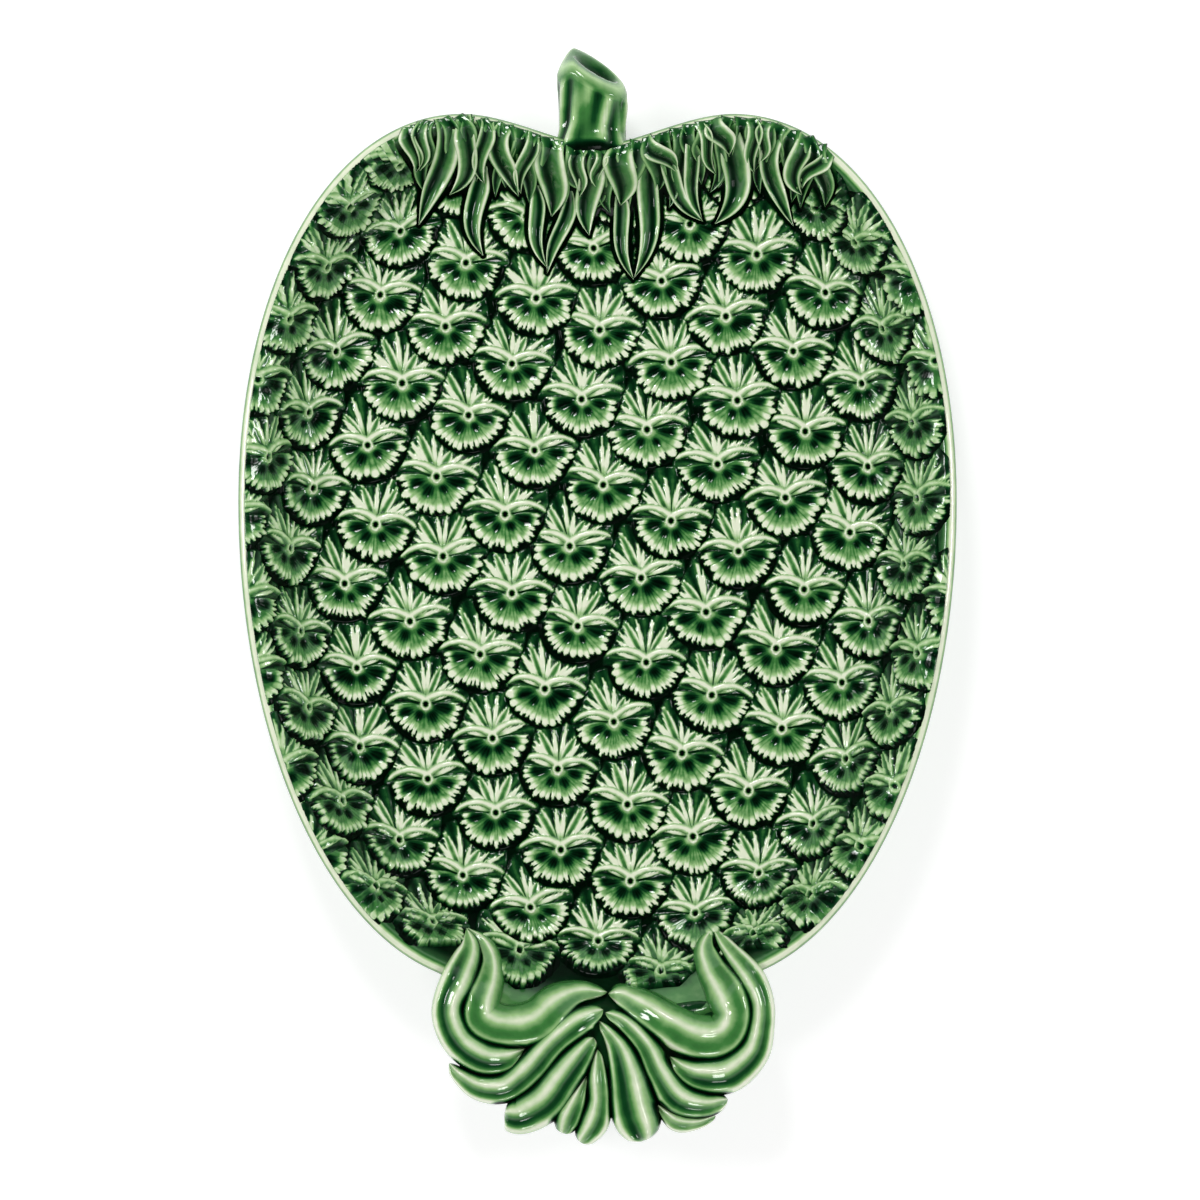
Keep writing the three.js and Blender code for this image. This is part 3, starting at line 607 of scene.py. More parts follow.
# %% Fringe lines
FRINGE = (
    (-68.7, 2, 2, -15.5, 0, 6), (-63.3, 2, -2, -16.5, 0, 5.5), (-56.3, 2, -9.5, -37, 3.5, 8),
    (-49, 2, -5.5, -26.5, 4, 7.5), (-40, 2, -1.5, -21.5, -1.5, 6), (-33, 2, 4, -24.5, -4, 7.5),
    (-23.2, 2, -5, -20.5, -1, 5.5), (-16.2, 2.5, -0.7, -26, 0, 10.5), (-5.3, 3, -1.5, -16, -1, 5.5),
    (0.5, 2.5, -0.5, -13, 0, 4.5), (9, 2.5, -0.5, -20, 0, 11), (17.3, 2.5, 12, -11, 0, 6.5),
    (36.3, 2.5, 7.3, -17, 0, 4.5), (42.2, 2, 6, -12, 0, 8), (47.6, 6, -4.4, -33, 6, 9.5),
    (55.7, 2, 1.8, -18.5, 0, 5.5), (62.2, 2.5, -3.3, -13.5, 0, 5), (68.4, 2, 3.7, -34.5, -6.5, 6.5),
    (76, 2, -1, -20, -3.5, 7), (84.8, 2, -9.8, -12, -1, 5.5), (-41.4, 23, -0.7, -27, -3.5, 7),
    (-23.5, 26, 4.8, -23.5, -1.5, 5.5), (-10.8, 24, -7.7, -23.5, 1.5, 5.5), (-3.1, 8, 0, -24, 0, 9),
    (18.4, 13, -4.8, -38.5, 3, 7.5), (7.1, 21, 6.2, -28, -1.5, 5.5), (21.7, 15, 17.2, -17, -2, 6),
    (32.3, 11, 6.2, -23.5, -1, 5.5),
)
FRINGE_WIDEST = 0.35
FRINGE_FULLNESS = 1.22
FRINGE_WAVE = 1.3
FRINGE_BEHIND = 7
FRINGE_TUCK = 9


def rim_y(x):
    """The rim's place along the tray above a place across it, on the stem's side."""
    upper = rim[rim[:, 1] > 60]
    order = upper[:, 0].argsort()
    return float(np.interp(x, upper[order, 0], upper[order, 1]))


def fringe_line(shape, t):
    """The middle line of a hanging leaf, the way along it and its half width."""
    x, drop, tip_x, tip_y, bow, width = shape
    tucked = FRINGE_TUCK if drop > FRINGE_BEHIND else 0.8
    base = np.array((x, rim_y(x) - max(drop - tucked, 1.4)))
    tip = np.array((x + tip_x, rim_y(x) - drop + tip_y))
    bowed = (base + tip) / 2 + (2 * bow, 0)
    s = t[:, None]
    middle = (1 - s) ** 2 * base + 2 * s * (1 - s) * bowed + s ** 2 * tip
    way = 2 * (1 - s) * (bowed - base) + 2 * s * (tip - bowed)
    way /= np.linalg.norm(way, axis=1, keepdims=True)
    wave = FRINGE_WAVE * np.sin(2 * math.pi * t) * (1 if round(7 * x) % 2 else -1)
    middle = middle + right_of(way) * wave[:, None]
    taper = 1 - np.clip((t - FRINGE_WIDEST) / (1 - FRINGE_WIDEST), 0, 1) ** 2.4
    start = 0.75 if drop < FRINGE_BEHIND else 0.3
    half = width / 2 * FRINGE_FULLNESS * np.maximum(mix(start, 1, soft(0, FRINGE_WIDEST, t)) * taper, 0.03)
    return middle, way, half


print("rim under the stem at", round(rim_y(0), 1), "mm")

# %% Fringe
FRINGE_FRONT = 20
FRINGE_FRONT_CLAY = (4.0, 0.12)
FRINGE_BACK_CLAY = (3.2, -0.1)
FRINGE_AROUND = 36
FRINGE_UNDER = 6
FRINGE_ALONG = 40
LEAF_BACK = -1.2
LEAF_POLE = 0.2
LEAF_HOLLOW = 0.42
LEAF_TONE = 0.53
LEAF_CONTRAST = 0.42


def hang_leaf(shape, turn, rank, thick, gutter_side, root_high):
    """Points and relief of a hanging leaf with raised margins."""
    across, over, pole, t = leaf_section(turn, rank, FRINGE_AROUND, FRINGE_UNDER, FRINGE_ALONG)
    middle, way, half = fringe_line(shape, t)
    plan = middle + right_of(way) * (across * half)[:, None]
    _, up, lean = wall_at(arc_at(from_floor_edge(*plan.T)[2]))
    side = np.abs(across)
    body = soft(1.0, 0.84, side)
    full = thick * mix(0.5, 1, np.sqrt(np.clip(half / 2.2, 0, 1)))
    hollow = soft(0.85, 0.1, np.abs(across - 0.3 * gutter_side)) * soft(0.4, 1.8, half)
    root = mix(root_high, 1, soft(0, 0.42, t))
    high = np.where(over, root * (full * body - LEAF_HOLLOW * thick * hollow), LEAF_BACK)
    high = np.where(pole, LEAF_POLE, high)
    points = np.column_stack([plan, FLOOR_Z + up + high / np.cos(lean)])
    grown = soft(0.02, 0.2, t)
    margin = hump(side, 0.74, 0.2) * mix(0.4, 1, grown)
    gutter = hump(across, 0.28 * gutter_side, 0.34) * grown
    relief = LEAF_TONE + LEAF_CONTRAST * margin - LEAF_CONTRAST * gutter
    relief = relief * mix(0.05, 1, soft(0.98, 0.88, side))
    return points, np.where(over, relief, 0)


def press_fringe_leaf(number, shape):
    """One leaf of the fringe."""
    name = "fringe_leaf_%02d" % (number + 1)
    mesh, (turn,), (rank,) = clay_balls(name, 1, FRINGE_AROUND, FRINGE_ALONG)
    thick, root_high = FRINGE_FRONT_CLAY if number < FRINGE_FRONT else FRINGE_BACK_CLAY
    gutter_side = 1 if number % 3 else -1
    points, relief = hang_leaf(shape, turn, rank, thick, gutter_side, root_high)
    return fire(mesh, points, relief, leaf_glaze, [name])


fringe = [press_fringe_leaf(number, shape) for number, shape in enumerate(FRINGE)]
print("fringe leaves:", len(fringe))

# %% [markdown]
# Between the leaves of the fringe smaller strands fill the wall up to the rim, so that no bare dish shows
# there. They are one piece without a part of their own in the CAD, thinner than the leaves that lie over
# them.

# %% Strands
STRANDS = 32
STRAND_ENDS = (-66, 81)
STRAND_DROP = 2
STRAND_LENGTHS = (15, 26)
STRAND_WIDTHS = (5, 7)
STRAND_SWAY = 5
STRAND_BOW = 2.5
STRAND_THICK = 2.2
STRAND_ROOT = 0.3
STRAND_TONE = 0.74
STRAND_SEED = 5


def strand_shapes():
    """Places, tips, bends and widths of the strands."""
    rng = np.random.default_rng(STRAND_SEED)
    shapes = []
    for x in np.linspace(*STRAND_ENDS, STRANDS):
        long = rng.uniform(*STRAND_LENGTHS)
        sway = rng.uniform(-STRAND_SWAY, STRAND_SWAY)
        bow = rng.uniform(-STRAND_BOW, STRAND_BOW)
        shapes.append((x, STRAND_DROP, sway, -long, bow, rng.uniform(*STRAND_WIDTHS)))
    return shapes


def press_strands(shapes):
    """All strands, each from a ball of its own."""
    mesh, turn, rank = clay_balls("fringe_strands", len(shapes), FRINGE_AROUND, FRINGE_ALONG)
    made = [
        hang_leaf(shape, turn[i], rank[i], STRAND_THICK, 1 if i % 2 else -1, STRAND_ROOT)
        for i, shape in enumerate(shapes)
    ]
    points = np.stack([points for points, _ in made])
    relief = STRAND_TONE * np.stack([relief for _, relief in made])
    return fire(mesh, points, relief, leaf_glaze, [])


strand_places = strand_shapes()
strands = press_strands(strand_places)
hanging_steps = np.linspace(0, 1, 24)
fringe_cover = np.concatenate([
    np.column_stack([middle, half])
    for middle, _, half in (fringe_line(shape, hanging_steps) for shape in [*FRINGE, *strand_places])
])
print("strands:", len(strand_places), "faces:", len(strands.data.polygons))

# %% [markdown]
# ## The rows of eyes
# Each eye is one motif with small differences, as a modeller would press it by hand: a ringed bead, two
# brows that arch out of it, a plume of blades above, and below it a serrated fan with dark hollows. It is
# written as two numbers at a place from the bead: how high the clay stands over the dish, and how pale the
# glaze is. The fan stands proud at its lower edge and the plume sinks at its tips, so that the eyes lie
# over each other like scales.

# %% Grooves between eyes
FAN_SPREAD = math.radians(97)
GROOVE_REACH = 14.3
PLUME_REACH = (6.0, 21.0)
FAR_OFF = 99.0


def fan_gap(x, y, beads):
    """How far places are from the grooves around the fans of these beads, below 0 inside a groove."""
    gap = np.full(np.shape(x), FAR_OFF)
    for bead_x, bead_y in beads:
        far = np.hypot(x - bead_x, y - bead_y)
        turned = np.abs(np.arctan2(x - bead_x, bead_y - y)) - FAN_SPREAD
        gap = np.minimum(gap, np.maximum(far - GROOVE_REACH, turned * far))
    return gap


def plume_share(x, y, bead, nearby):
    """1 where a place is nearer to its own bead than to any other bead under it."""
    other = np.full(np.shape(x), FAR_OFF)
    for bead_x, bead_y in nearby:
        far = np.hypot(x - bead_x, y - bead_y)
        other = np.minimum(other, np.where(y > bead_y - 1, far, FAR_OFF))
    return soft(-0.7, 0.7, other - np.hypot(x - bead[0], y - bead[1]))


def open_reach(bead, angle, nearby):
    """How far a blade can grow from its bead before it meets the groove around another fan."""
    far = np.linspace(*PLUME_REACH, 61)
    closed = fan_gap(bead[0] + far * math.sin(angle), bead[1] + far * math.cos(angle), nearby) < 0.3
    return float(far[closed.argmax()]) if closed.any() else PLUME_REACH[1]


print("grooves lie", GROOVE_REACH, "mm from their beads")

# %% Fan of an eye
FAN_RADIUS = 13.4
FAN_TEETH = (16, 21)
FAN_HOLLOWS = ((76, 7.4, 3.3, 2.0, 0.72), (32, 5.3, 2.0, 1.7, 0.62))


def eye_fan(u, v, rng):
    """The serrated fan under the bead: cover, height, paleness and the dark foot around it."""
    r, down = np.hypot(u, v), np.arctan2(u, -v)
    teeth = int(rng.integers(*FAN_TEETH))
    place = (down / FAN_SPREAD + 1) * teeth / 2
    place = place + 0.3 * np.sin(2.3 * down + rng.uniform(0, 6)) + 0.2 * np.sin(5 * down + rng.uniform(0, 6))
    tooth = np.clip(place.astype(int), 0, teeth + 3)
    gap = np.abs(2 * (place % 1) - 1)
    longer = rng.uniform(-1.5, 0.8, teeth + 4)[tooth]
    notch = rng.uniform(0.6, 2.8, teeth + 4)[tooth]
    edge = FAN_RADIUS + 0.7 * np.sin(down) ** 2 + longer - notch * gap ** 1.6
    top = (FAN_SPREAD - 0.09 * soft(5, 12, r) - np.abs(down)) * r
    inside = np.minimum(edge - r, top)
    cover = soft(-0.3, 0.3, inside)
    ridge = 1 - gap ** 2
    margin = soft(4.6, 0.8, edge - r)
    pale = 0.5 + 0.14 * ridge * soft(3, 7, r) + margin * (0.16 + 0.42 * ridge) + 0.3 * soft(4.2, 2, r)
    high = 1.45 - 0.07 * v + 0.9 * np.minimum(pale, 1)
    for angle, far, long, wide, dark in FAN_HOLLOWS:
        for side in (-1, 1):
            turned = down - side * math.radians(angle + rng.uniform(-8, 8))
            out = r * np.cos(turned) - far * rng.uniform(0.9, 1.12)
            aside = r * np.sin(turned)
            size = rng.uniform(0.75, 1.2)
            hollow = np.exp(-((out / (long * size)) ** 2 + (aside / (wide * size)) ** 2) ** 1.5)
            pale = pale - dark * hollow * (1 - 0.25 * ridge)
            high = high - 0.4 * hollow
    pale = np.clip(pale, 0.02, 1)
    foot = 0.9 * np.exp(-np.maximum(r - FAN_RADIUS - 0.3, 0) / 0.7) * soft(-1, 1, top)
    return cover, high, pale, foot


print("teeth in a fan:", FAN_TEETH[0], "to", FAN_TEETH[1] - 1)

# %% Brows of an eye
BROW_REACH = 15.0
BROW_FOOT = 1.4
BROW_HALF = 1.8


def eye_brows(u, v, rng):
    """The two brows that arch out of the bead."""
    far = np.abs(u) / BROW_REACH
    end = np.where(u < 0, rng.uniform(0.2, 3.6), rng.uniform(0.2, 4.4))
    rise = 11.5 + 0.45 * (end - 2.2)
    fall = end - BROW_FOOT - rise
    middle = BROW_FOOT + rise * far + fall * far ** 2
    slope = (rise + 2 * fall * far) / BROW_REACH
    aside = (v - middle) / np.sqrt(1 + slope ** 2)
    half = BROW_HALF * (1 - 0.45 * far) * soft(1.08, 0.9, far)
    across = aside / np.maximum(half, 0.05)
    cover = soft(1.25, 0.8, np.abs(across)) * soft(1.05, 0.98, far)
    pale = 0.6 + 0.4 * hump(across, 0.1, 0.6)
    shade = hump(aside + half, -0.8, 0.6) * soft(1.8, 3.2, np.abs(u)) * soft(1.1, 0.95, far)
    return cover, 1.9 - 0.05 * v + 1.4 * np.sqrt(np.clip(1 - across ** 2, 0, 1)), pale, shade


print("brows reach", BROW_REACH, "mm")

# %% Plume of an eye
PLUME_BLADES = ((27, 21, 1.6), (7, 19, 0.85), (42, 19, 1.0), (55, 17.5, 0.95), (69, 16, 0.85))


def eye_plume(u, v, reach, rng):
    """The blades over the bead: raised edges, a green middle and dark gaps."""
    cover, high, pale = np.zeros((3, *u.shape))
    for angle, length, width in PLUME_BLADES:
        for side in (-1, 1):
            lean = side * math.radians(angle + rng.uniform(-5, 5))
            long = min(length * rng.uniform(0.85, 1.05), reach(lean))
            half = width * rng.uniform(0.85, 1.15)
            along = u * math.sin(lean) + v * math.cos(lean)
            aside = u * math.cos(lean) - v * math.sin(lean)
            share = np.clip(along / long, 0, 1)
            across = np.abs(aside) / np.maximum(half * 1.1 * np.sin(math.pi * share ** 1.15) ** 0.85, 0.1)
            here = soft(1.3, 0.8, across) * soft(0.02, 0.12, share) * soft(1.0, 0.97, share)
            edges = 0.2 + 0.8 * soft(0.15, 0.8, across) if width > 1.4 else 1 - 0.3 * across ** 2
            tone = (0.42 + 0.6 * edges) * mix(0.55, 1, soft(0.12, 0.5, share))
            level = 1.5 - 0.05 * along + 0.95 * tone
            wins = here * level > cover * high
            cover = np.where(wins, here, cover)
            high = np.where(wins, level, high)
            pale = np.where(wins, tone, pale)
    return cover, high, pale


print("blades in a plume:", 2 * len(PLUME_BLADES))

# %% Whole eye
BEAD_SHAPE = (0.9, 1.16)
RING_RADIUS = 1.75
RING_HEIGHT = 3.4


def eye(u, v, gap, share, reach, rng):
    """Height over the dish and paleness of the glaze at places from the bead of one eye."""
    fan_cover, fan_high, fan_pale, foot = eye_fan(u, v, rng)
    brow_cover, brow_high, brow_pale, shade = eye_brows(u, v, rng)
    plume_cover, plume_high, plume_pale = eye_plume(u, v, reach, rng)
    upper = soft(-1.5, 0.5, v) * soft(-0.1, 0.8, gap) * share
    streak = 0.5 + 0.5 * np.cos(23 * np.arctan2(u, v) + rng.uniform(0, 6))
    plume_cover, brow_cover = plume_cover * upper, brow_cover * soft(-0.3, 0.6, gap)
    high = np.maximum(fan_cover * fan_high * (1 - 0.55 * shade), plume_cover * plume_high)
    high = np.maximum(high, np.maximum((0.75 + 0.4 * streak) * upper, foot))
    pale = np.maximum(fan_cover * fan_pale * (1 - 0.95 * shade), plume_cover * plume_pale)
    pale = np.maximum(pale, (0.17 + 0.26 * streak) * upper)
    brow_wins = brow_cover * brow_high > high
    high = np.where(brow_wins, brow_cover * brow_high, high)
    pale = np.where(brow_wins, brow_cover * brow_pale, pale)
    from_bead = np.hypot(u / BEAD_SHAPE[0], v / BEAD_SHAPE[1])
    ring = hump(from_bead, RING_RADIUS, 0.75)
    pit = soft(1.15, 0.65, from_bead)
    high = np.maximum(high, RING_HEIGHT * ring) * (1 - 0.6 * pit)
    pale = np.maximum(pale, ring) * (1 - pit)
    return high, pale


print("ring of a bead:", RING_RADIUS, "mm, raised", RING_HEIGHT, "mm")

# %% [markdown]
# The rows slant over the dish, and the beads of a row are evenly spaced on a flat sheet that is then laid
# into the dish: on the floor it lies flat, and on the wall a length of sheet becomes a length of wall. Each
# eye is a ball whose upper ranks spread from the bead to the edge of the eye. Where an eye would run over
# the lip, into the smooth bay or under a leaf, its clay sinks into the dish and is gone. Towards the lip
# the relief gets low, so that the rim stays smooth, and beads that lie just past the rim still fill the
# wall with their plumes. Two beads are moved aside, as on the real tray.

# %% Beads
EYE_STEP = 24.8
ROW_DROP = 28.3
ROW_SLOPE = 0.505
ROW_TOP_Y = 184.5
ROW_STARTS = (0.07, 0.4, -0.07, 0.06, -0.24, 0.09, -0.38, -0.27, 0.25, 0.43, 0.46, 0.01, 0.44)
OUTER_BEADS = 11
BAY_MIDDLE = 18
MOVED_BEADS = (((-34.4, -132.5), (8, 5)), ((76.1, 146.1), (7, 0)))
MOVED_NEAR = 5
EYE_WANDER = 0.9
EYE_SEED = 11


def row_beads(row, rng):
    """The beads of a row that lie in the dish, each a little off its even place."""
    x = (np.arange(-9, 10) + ROW_STARTS[row]) * EYE_STEP
    y = ROW_TOP_Y - row * ROW_DROP - ROW_SLOPE * x
    beads = np.column_stack([x, y]) + rng.uniform(-EYE_WANDER, EYE_WANDER, (len(x), 2))
    for place, push in MOVED_BEADS:
        beads[np.linalg.norm(beads - place, axis=1) < MOVED_NEAR] += push
    in_dish = from_floor_edge(*beads.T)[2] < WALL_ARC + OUTER_BEADS
    under_crown = (np.abs(beads[:, 0]) < BAY_MIDDLE) & (in_bay(*beads.T) > -1.5)
    return beads[in_dish & ~under_crown]


eye_rng = np.random.default_rng(EYE_SEED)
beads_by_row = [row_beads(row, eye_rng) for row in range(len(ROW_STARTS))]
all_beads = np.concatenate(beads_by_row)
print("rows:", len(beads_by_row), "eyes:", len(all_beads))

# %% Rows of eyes
EYE_AROUND = 152
EYE_ALONG = 40
EYE_TOP_RANKS = 37
EYE_REACHES = (21.5, 17)
EYE_TUCK = 1.2
EYE_TILT = 8
EYE_SIZES = (0.98, 1.05)
EYE_WALL_TONE = 0.84
NEAR_BEADS = 46
LEAF_MOAT = 0.6
RIM_BAND = -3.6
RIM_EASE = (WALL_ARC - 4, WALL_ARC + 1.5)
RIM_LOW = 0.12
SUNK = -1.4


def lay_in_dish(x, y, lift):
    """Places of a flat sheet laid into the dish, lifted square off its surface."""
    edge, way, arc = from_floor_edge(x, y)
    out, up, lean = wall_at(arc)
    reach = (out - lift * np.sin(lean))[..., None]
    plan = np.where((arc > 0)[..., None], edge + way * reach, np.stack([x, y], axis=-1))
    return np.concatenate([plan, (FLOOR_Z + up + lift * np.cos(lean))[..., None]], axis=-1)


def eye_reach(turn):
    """How far one eye spreads from its bead, by the turn from straight up."""
    from_up = np.abs(np.arctan2(np.sin(turn), np.cos(turn)))
    return mix(*EYE_REACHES, soft(0.6, 1.4, from_up)) - EYE_TUCK * soft(1.7, 2.4, from_up)


def under_leaves(plan):
    """1 where a place in plan is covered by a leaf of the fringe, 0 in the open."""
    covered = np.zeros(plan.shape[:-1])
    near = plan[..., 1] > fringe_cover[:, 1].min() - 10
    covered[near] = soft(LEAF_MOAT + 0.7, LEAF_MOAT, leaf_gap(plan[near], fringe_cover))
    return covered


def press_row(row, beads, all_beads, rng):
    """One row of eyes, each from a ball of its own."""
    name = "eye_row_%02d" % (row + 1)
    mesh, turn, rank = clay_balls(name, len(beads), EYE_AROUND, EYE_ALONG)
    angle = turn * 2 * math.pi / EYE_AROUND
    under = rank > EYE_TOP_RANKS
    spread = np.where(under, (EYE_ALONG - rank) / (EYE_ALONG - EYE_TOP_RANKS - 1), rank / EYE_TOP_RANKS)
    r = np.clip(spread, 0, 1) * eye_reach(angle)
    u, v = -r * np.sin(angle), r * np.cos(angle)
    x, y, high, pale, gone, on_wall = np.empty((6, *u.shape))
    limit = WALL_ARC - RIM_BAND
    for i, bead in enumerate(beads):
        far = np.linalg.norm(all_beads - bead, axis=1)
        nearby = all_beads[(far > 1) & (far < NEAR_BEADS)]
        tilt = math.radians(rng.uniform(-EYE_TILT, EYE_TILT))
        size = rng.uniform(*EYE_SIZES)
        x[i] = bead[0] + size * (u[i] * math.cos(tilt) - v[i] * math.sin(tilt))
        y[i] = bead[1] + size * (u[i] * math.sin(tilt) + v[i] * math.cos(tilt))
        gap = fan_gap(x[i], y[i], nearby)
        share = plume_share(x[i], y[i], bead, nearby)
        high[i], pale[i] = eye(
            u[i], v[i], gap, share, lambda lean: open_reach(bead, lean - tilt, nearby), rng
        )
        edge, way, arc = from_floor_edge(x[i], y[i])
        high[i] = high[i] * mix(1, RIM_LOW, soft(*RIM_EASE, arc))
        plan = edge + way * wall_at(arc)[0][:, None]
        at_rim = soft(limit - 1.0, limit, arc)
        on_wall[i] = soft(0, FILLET_ARC, arc)
        gone[i] = np.maximum(at_rim, soft(-0.6, 0.8, in_bay(*plan.T)))
        gone[i] = np.maximum(gone[i], under_leaves(plan))
        held = np.minimum(arc, limit) + 1.5 * (1 - np.exp(-np.maximum(arc - limit, 0) / 12))
        outside = arc > limit
        x[i, outside], y[i, outside] = (edge + way * held[:, None])[outside].T
    pale = pale * mix(1, EYE_WALL_TONE, on_wall)
    brim = soft(1, 0.92, spread)
    lift = np.where(under, SUNK, mix(mix(-0.5, high + 0.12, brim), SUNK, gone))
    points = lay_in_dish(x, y, lift)
    points[..., 1] -= bay_push(*np.moveaxis(points, -1, 0))
    flat = np.stack([x, y + ROW_SLOPE * x], axis=-1)
    return fire(mesh, points, pale * (1 - gone) * brim, eye_glaze, [name], flat)


rows = [press_row(row, beads, all_beads, eye_rng) for row, beads in enumerate(beads_by_row)]
print("faces in the rows:", sum(len(piece.data.polygons) for piece in rows))

# %% [markdown]
# ## The crown
# The crown is the handle: thick leaves that curl out of one point, the inner pair reaching over the lip
# into the well like horns. Each has places along its middle line with the width there, so that its
# neighbours meet it in a deep crease. Its top is a dome with one sharp ridge and a gutter beside it, pale
# on the ridge and at the outer margin. The creases between the leaves are nearly black, because the glaze
# gathers there.

# %% Crown lines
CROWN = {
    "inner_left": (
        (-47.5, 32, 1), (-42, 27.5, 4.5), (-39, 21, 7), (-39.5, 14, 10), (-42, 6.5, 12), (-41.5, 0, 14),
        (-33, -3, 14), (-22.5, -1.5, 14.5), (-14.5, 5.5, 12.5), (-6.5, 9, 7.5), (3.5, 9, 3.5),
    ),
    "inner_right": (
        (42, 32, 1), (39.5, 25, 7.5), (42, 17.5, 11), (47, 9.5, 14), (49.5, 1, 13), (45.5, -6, 14.5),
        (36.5, -7, 15), (25.5, -1.5, 13), (17.5, 3.5, 11.5), (9, 8, 7.5), (4, 8.5, 3.5),
    ),
    "outer_left": (
        (-48, 32, 1.5), (-46.5, 25, 8), (-50, 15.5, 11.5), (-54, 6.5, 10.5), (-54, -0.5, 11),
        (-50, -8.5, 11.5), (-42, -14, 12), (-33.5, -14.5, 9.5), (-26, -11, 2),
    ),
    "outer_right": (
        (42.5, 32, 1.5), (47.5, 25, 6), (55.5, 15.5, 9), (59.5, 6.5, 8.5), (59.5, -2.5, 9), (56.5, -12.5, 11),
        (47.5, -20, 13), (37.5, -20.5, 11.5), (31, -18, 7.5), (26.5, -14, 2),
    ),
    "sweep_left": (
        (2, 3, 4.5), (-6.5, -1, 10), (-16, -8.5, 10), (-24.5, -18, 11), (-33.5, -25, 10.5), (-43, -25, 9),
        (-50.5, -20.5, 5.5), (-54, -16.5, 2),
    ),
    "sweep_right": (
        (3, 2, 3), (10, -1.5, 6.5), (17.5, -9.5, 8), (22.5, -19.5, 9.5), (29.5, -29, 11.5), (39, -31.5, 9),
        (47.5, -29.5, 4.5),
    ),
    "mid_left": (
        (-1.5, -7, 5), (-6.5, -13.5, 10), (-13, -22, 13), (-19, -30, 14), (-28, -35, 13), (-34, -34.5, 9.5),
    ),
    "tail_right": ((21.5, -31.5, 1.5), (28.5, -37.5, 6.5), (36.5, -38, 4.5), (43, -35.5, 2)),
    "end_right": (
        (0.5, -1, 2), (7.5, -10, 8), (11, -20.5, 13), (13, -31.5, 15.5), (15.5, -39, 14.5), (17.5, -44.5, 8),
    ),
    "end_left": ((0, -11.5, 2), (0, -20.5, 7), (0.5, -30, 8), (-1.5, -38, 10), (-6.4, -45.2, 6)),
    "small_left": ((-4, -21, 1), (-8, -30, 7.5), (-11, -37, 9), (-12.5, -42, 4.5)),
}
CROWN_ROUND_END = 0.92
CROWN_ROUND_ROOT = 0.06


def crown_line(line, t):
    """The middle line of a crown leaf, the way along it and its half width, rounded off at its end."""
    place, way = leaf_places(line, t)
    rounding = np.sqrt(np.clip(1 - (np.clip(t - CROWN_ROUND_END, 0, 1) / (1 - CROWN_ROUND_END)) ** 2, 0, 1))
    rooting = np.sqrt(np.clip(1 - (np.clip(CROWN_ROUND_ROOT - t, 0, 1) / CROWN_ROUND_ROOT) ** 2, 0, 1))
    half = np.maximum(place[:, 2] / 2 * rounding * rooting, 0.25)
    return place[:, :2] + (0, END_Y), way, half


crown_steps = np.linspace(0, 1, 80)
crown_cover = {}
for name, line in CROWN.items():
    middle, _, half = crown_line(line, crown_steps)
    crown_cover[name] = np.column_stack([middle, half])
print("lines of the crown:", ", ".join(crown_cover))

# %% Crown
CROWN_AROUND = 52
CROWN_UNDER = 8
CROWN_ALONG = 96
CROWN_RISE = 8
CROWN_FULL_WIDTH = 13
CROWN_FULLNESS = 1.16
CROWN_HEART = 18
CROWN_EASE = (-7, -3.5, 0, 3.5, 7)
CROWN_INNER_GUTTER = 0.35
CROWN_TONE = 0.63
CROWN_BACK_TONE = 0.4
CREASE_DARK = 0.98


def crown_ground(x, y):
    """The height that the crown lies on: the wall inside the dish, and the level of the lip outside it."""
    plain = FLOOR_Z + wall_at(arc_at(np.minimum(from_floor_edge(x, y)[2], WALL_TOP_OUT)))[1]
    out = from_floor_edge(x, y + bay_push(x, y, plain))[2]
    wall = FLOOR_Z + wall_at(arc_at(np.minimum(out, WALL_TOP_OUT)))[1]
    return mix(wall, CREST_Z, np.clip((out - WALL_TOP_OUT) / (LIP_OUT - WALL_TOP_OUT), 0, 1))


def eased_ground(x, y):
    """The same height with the bend at the lip eased, for the tops of the leaves."""
    return sum(crown_ground(x, y + step) for step in CROWN_EASE) / len(CROWN_EASE)


def near_other_leaves(name, plan):
    """1 where a place lies at the foot of another leaf of the crown, 0 in the open."""
    others = np.concatenate([cover for other, cover in crown_cover.items() if other != name])
    return soft(3.0, 0.4, leaf_gap(plan, others))


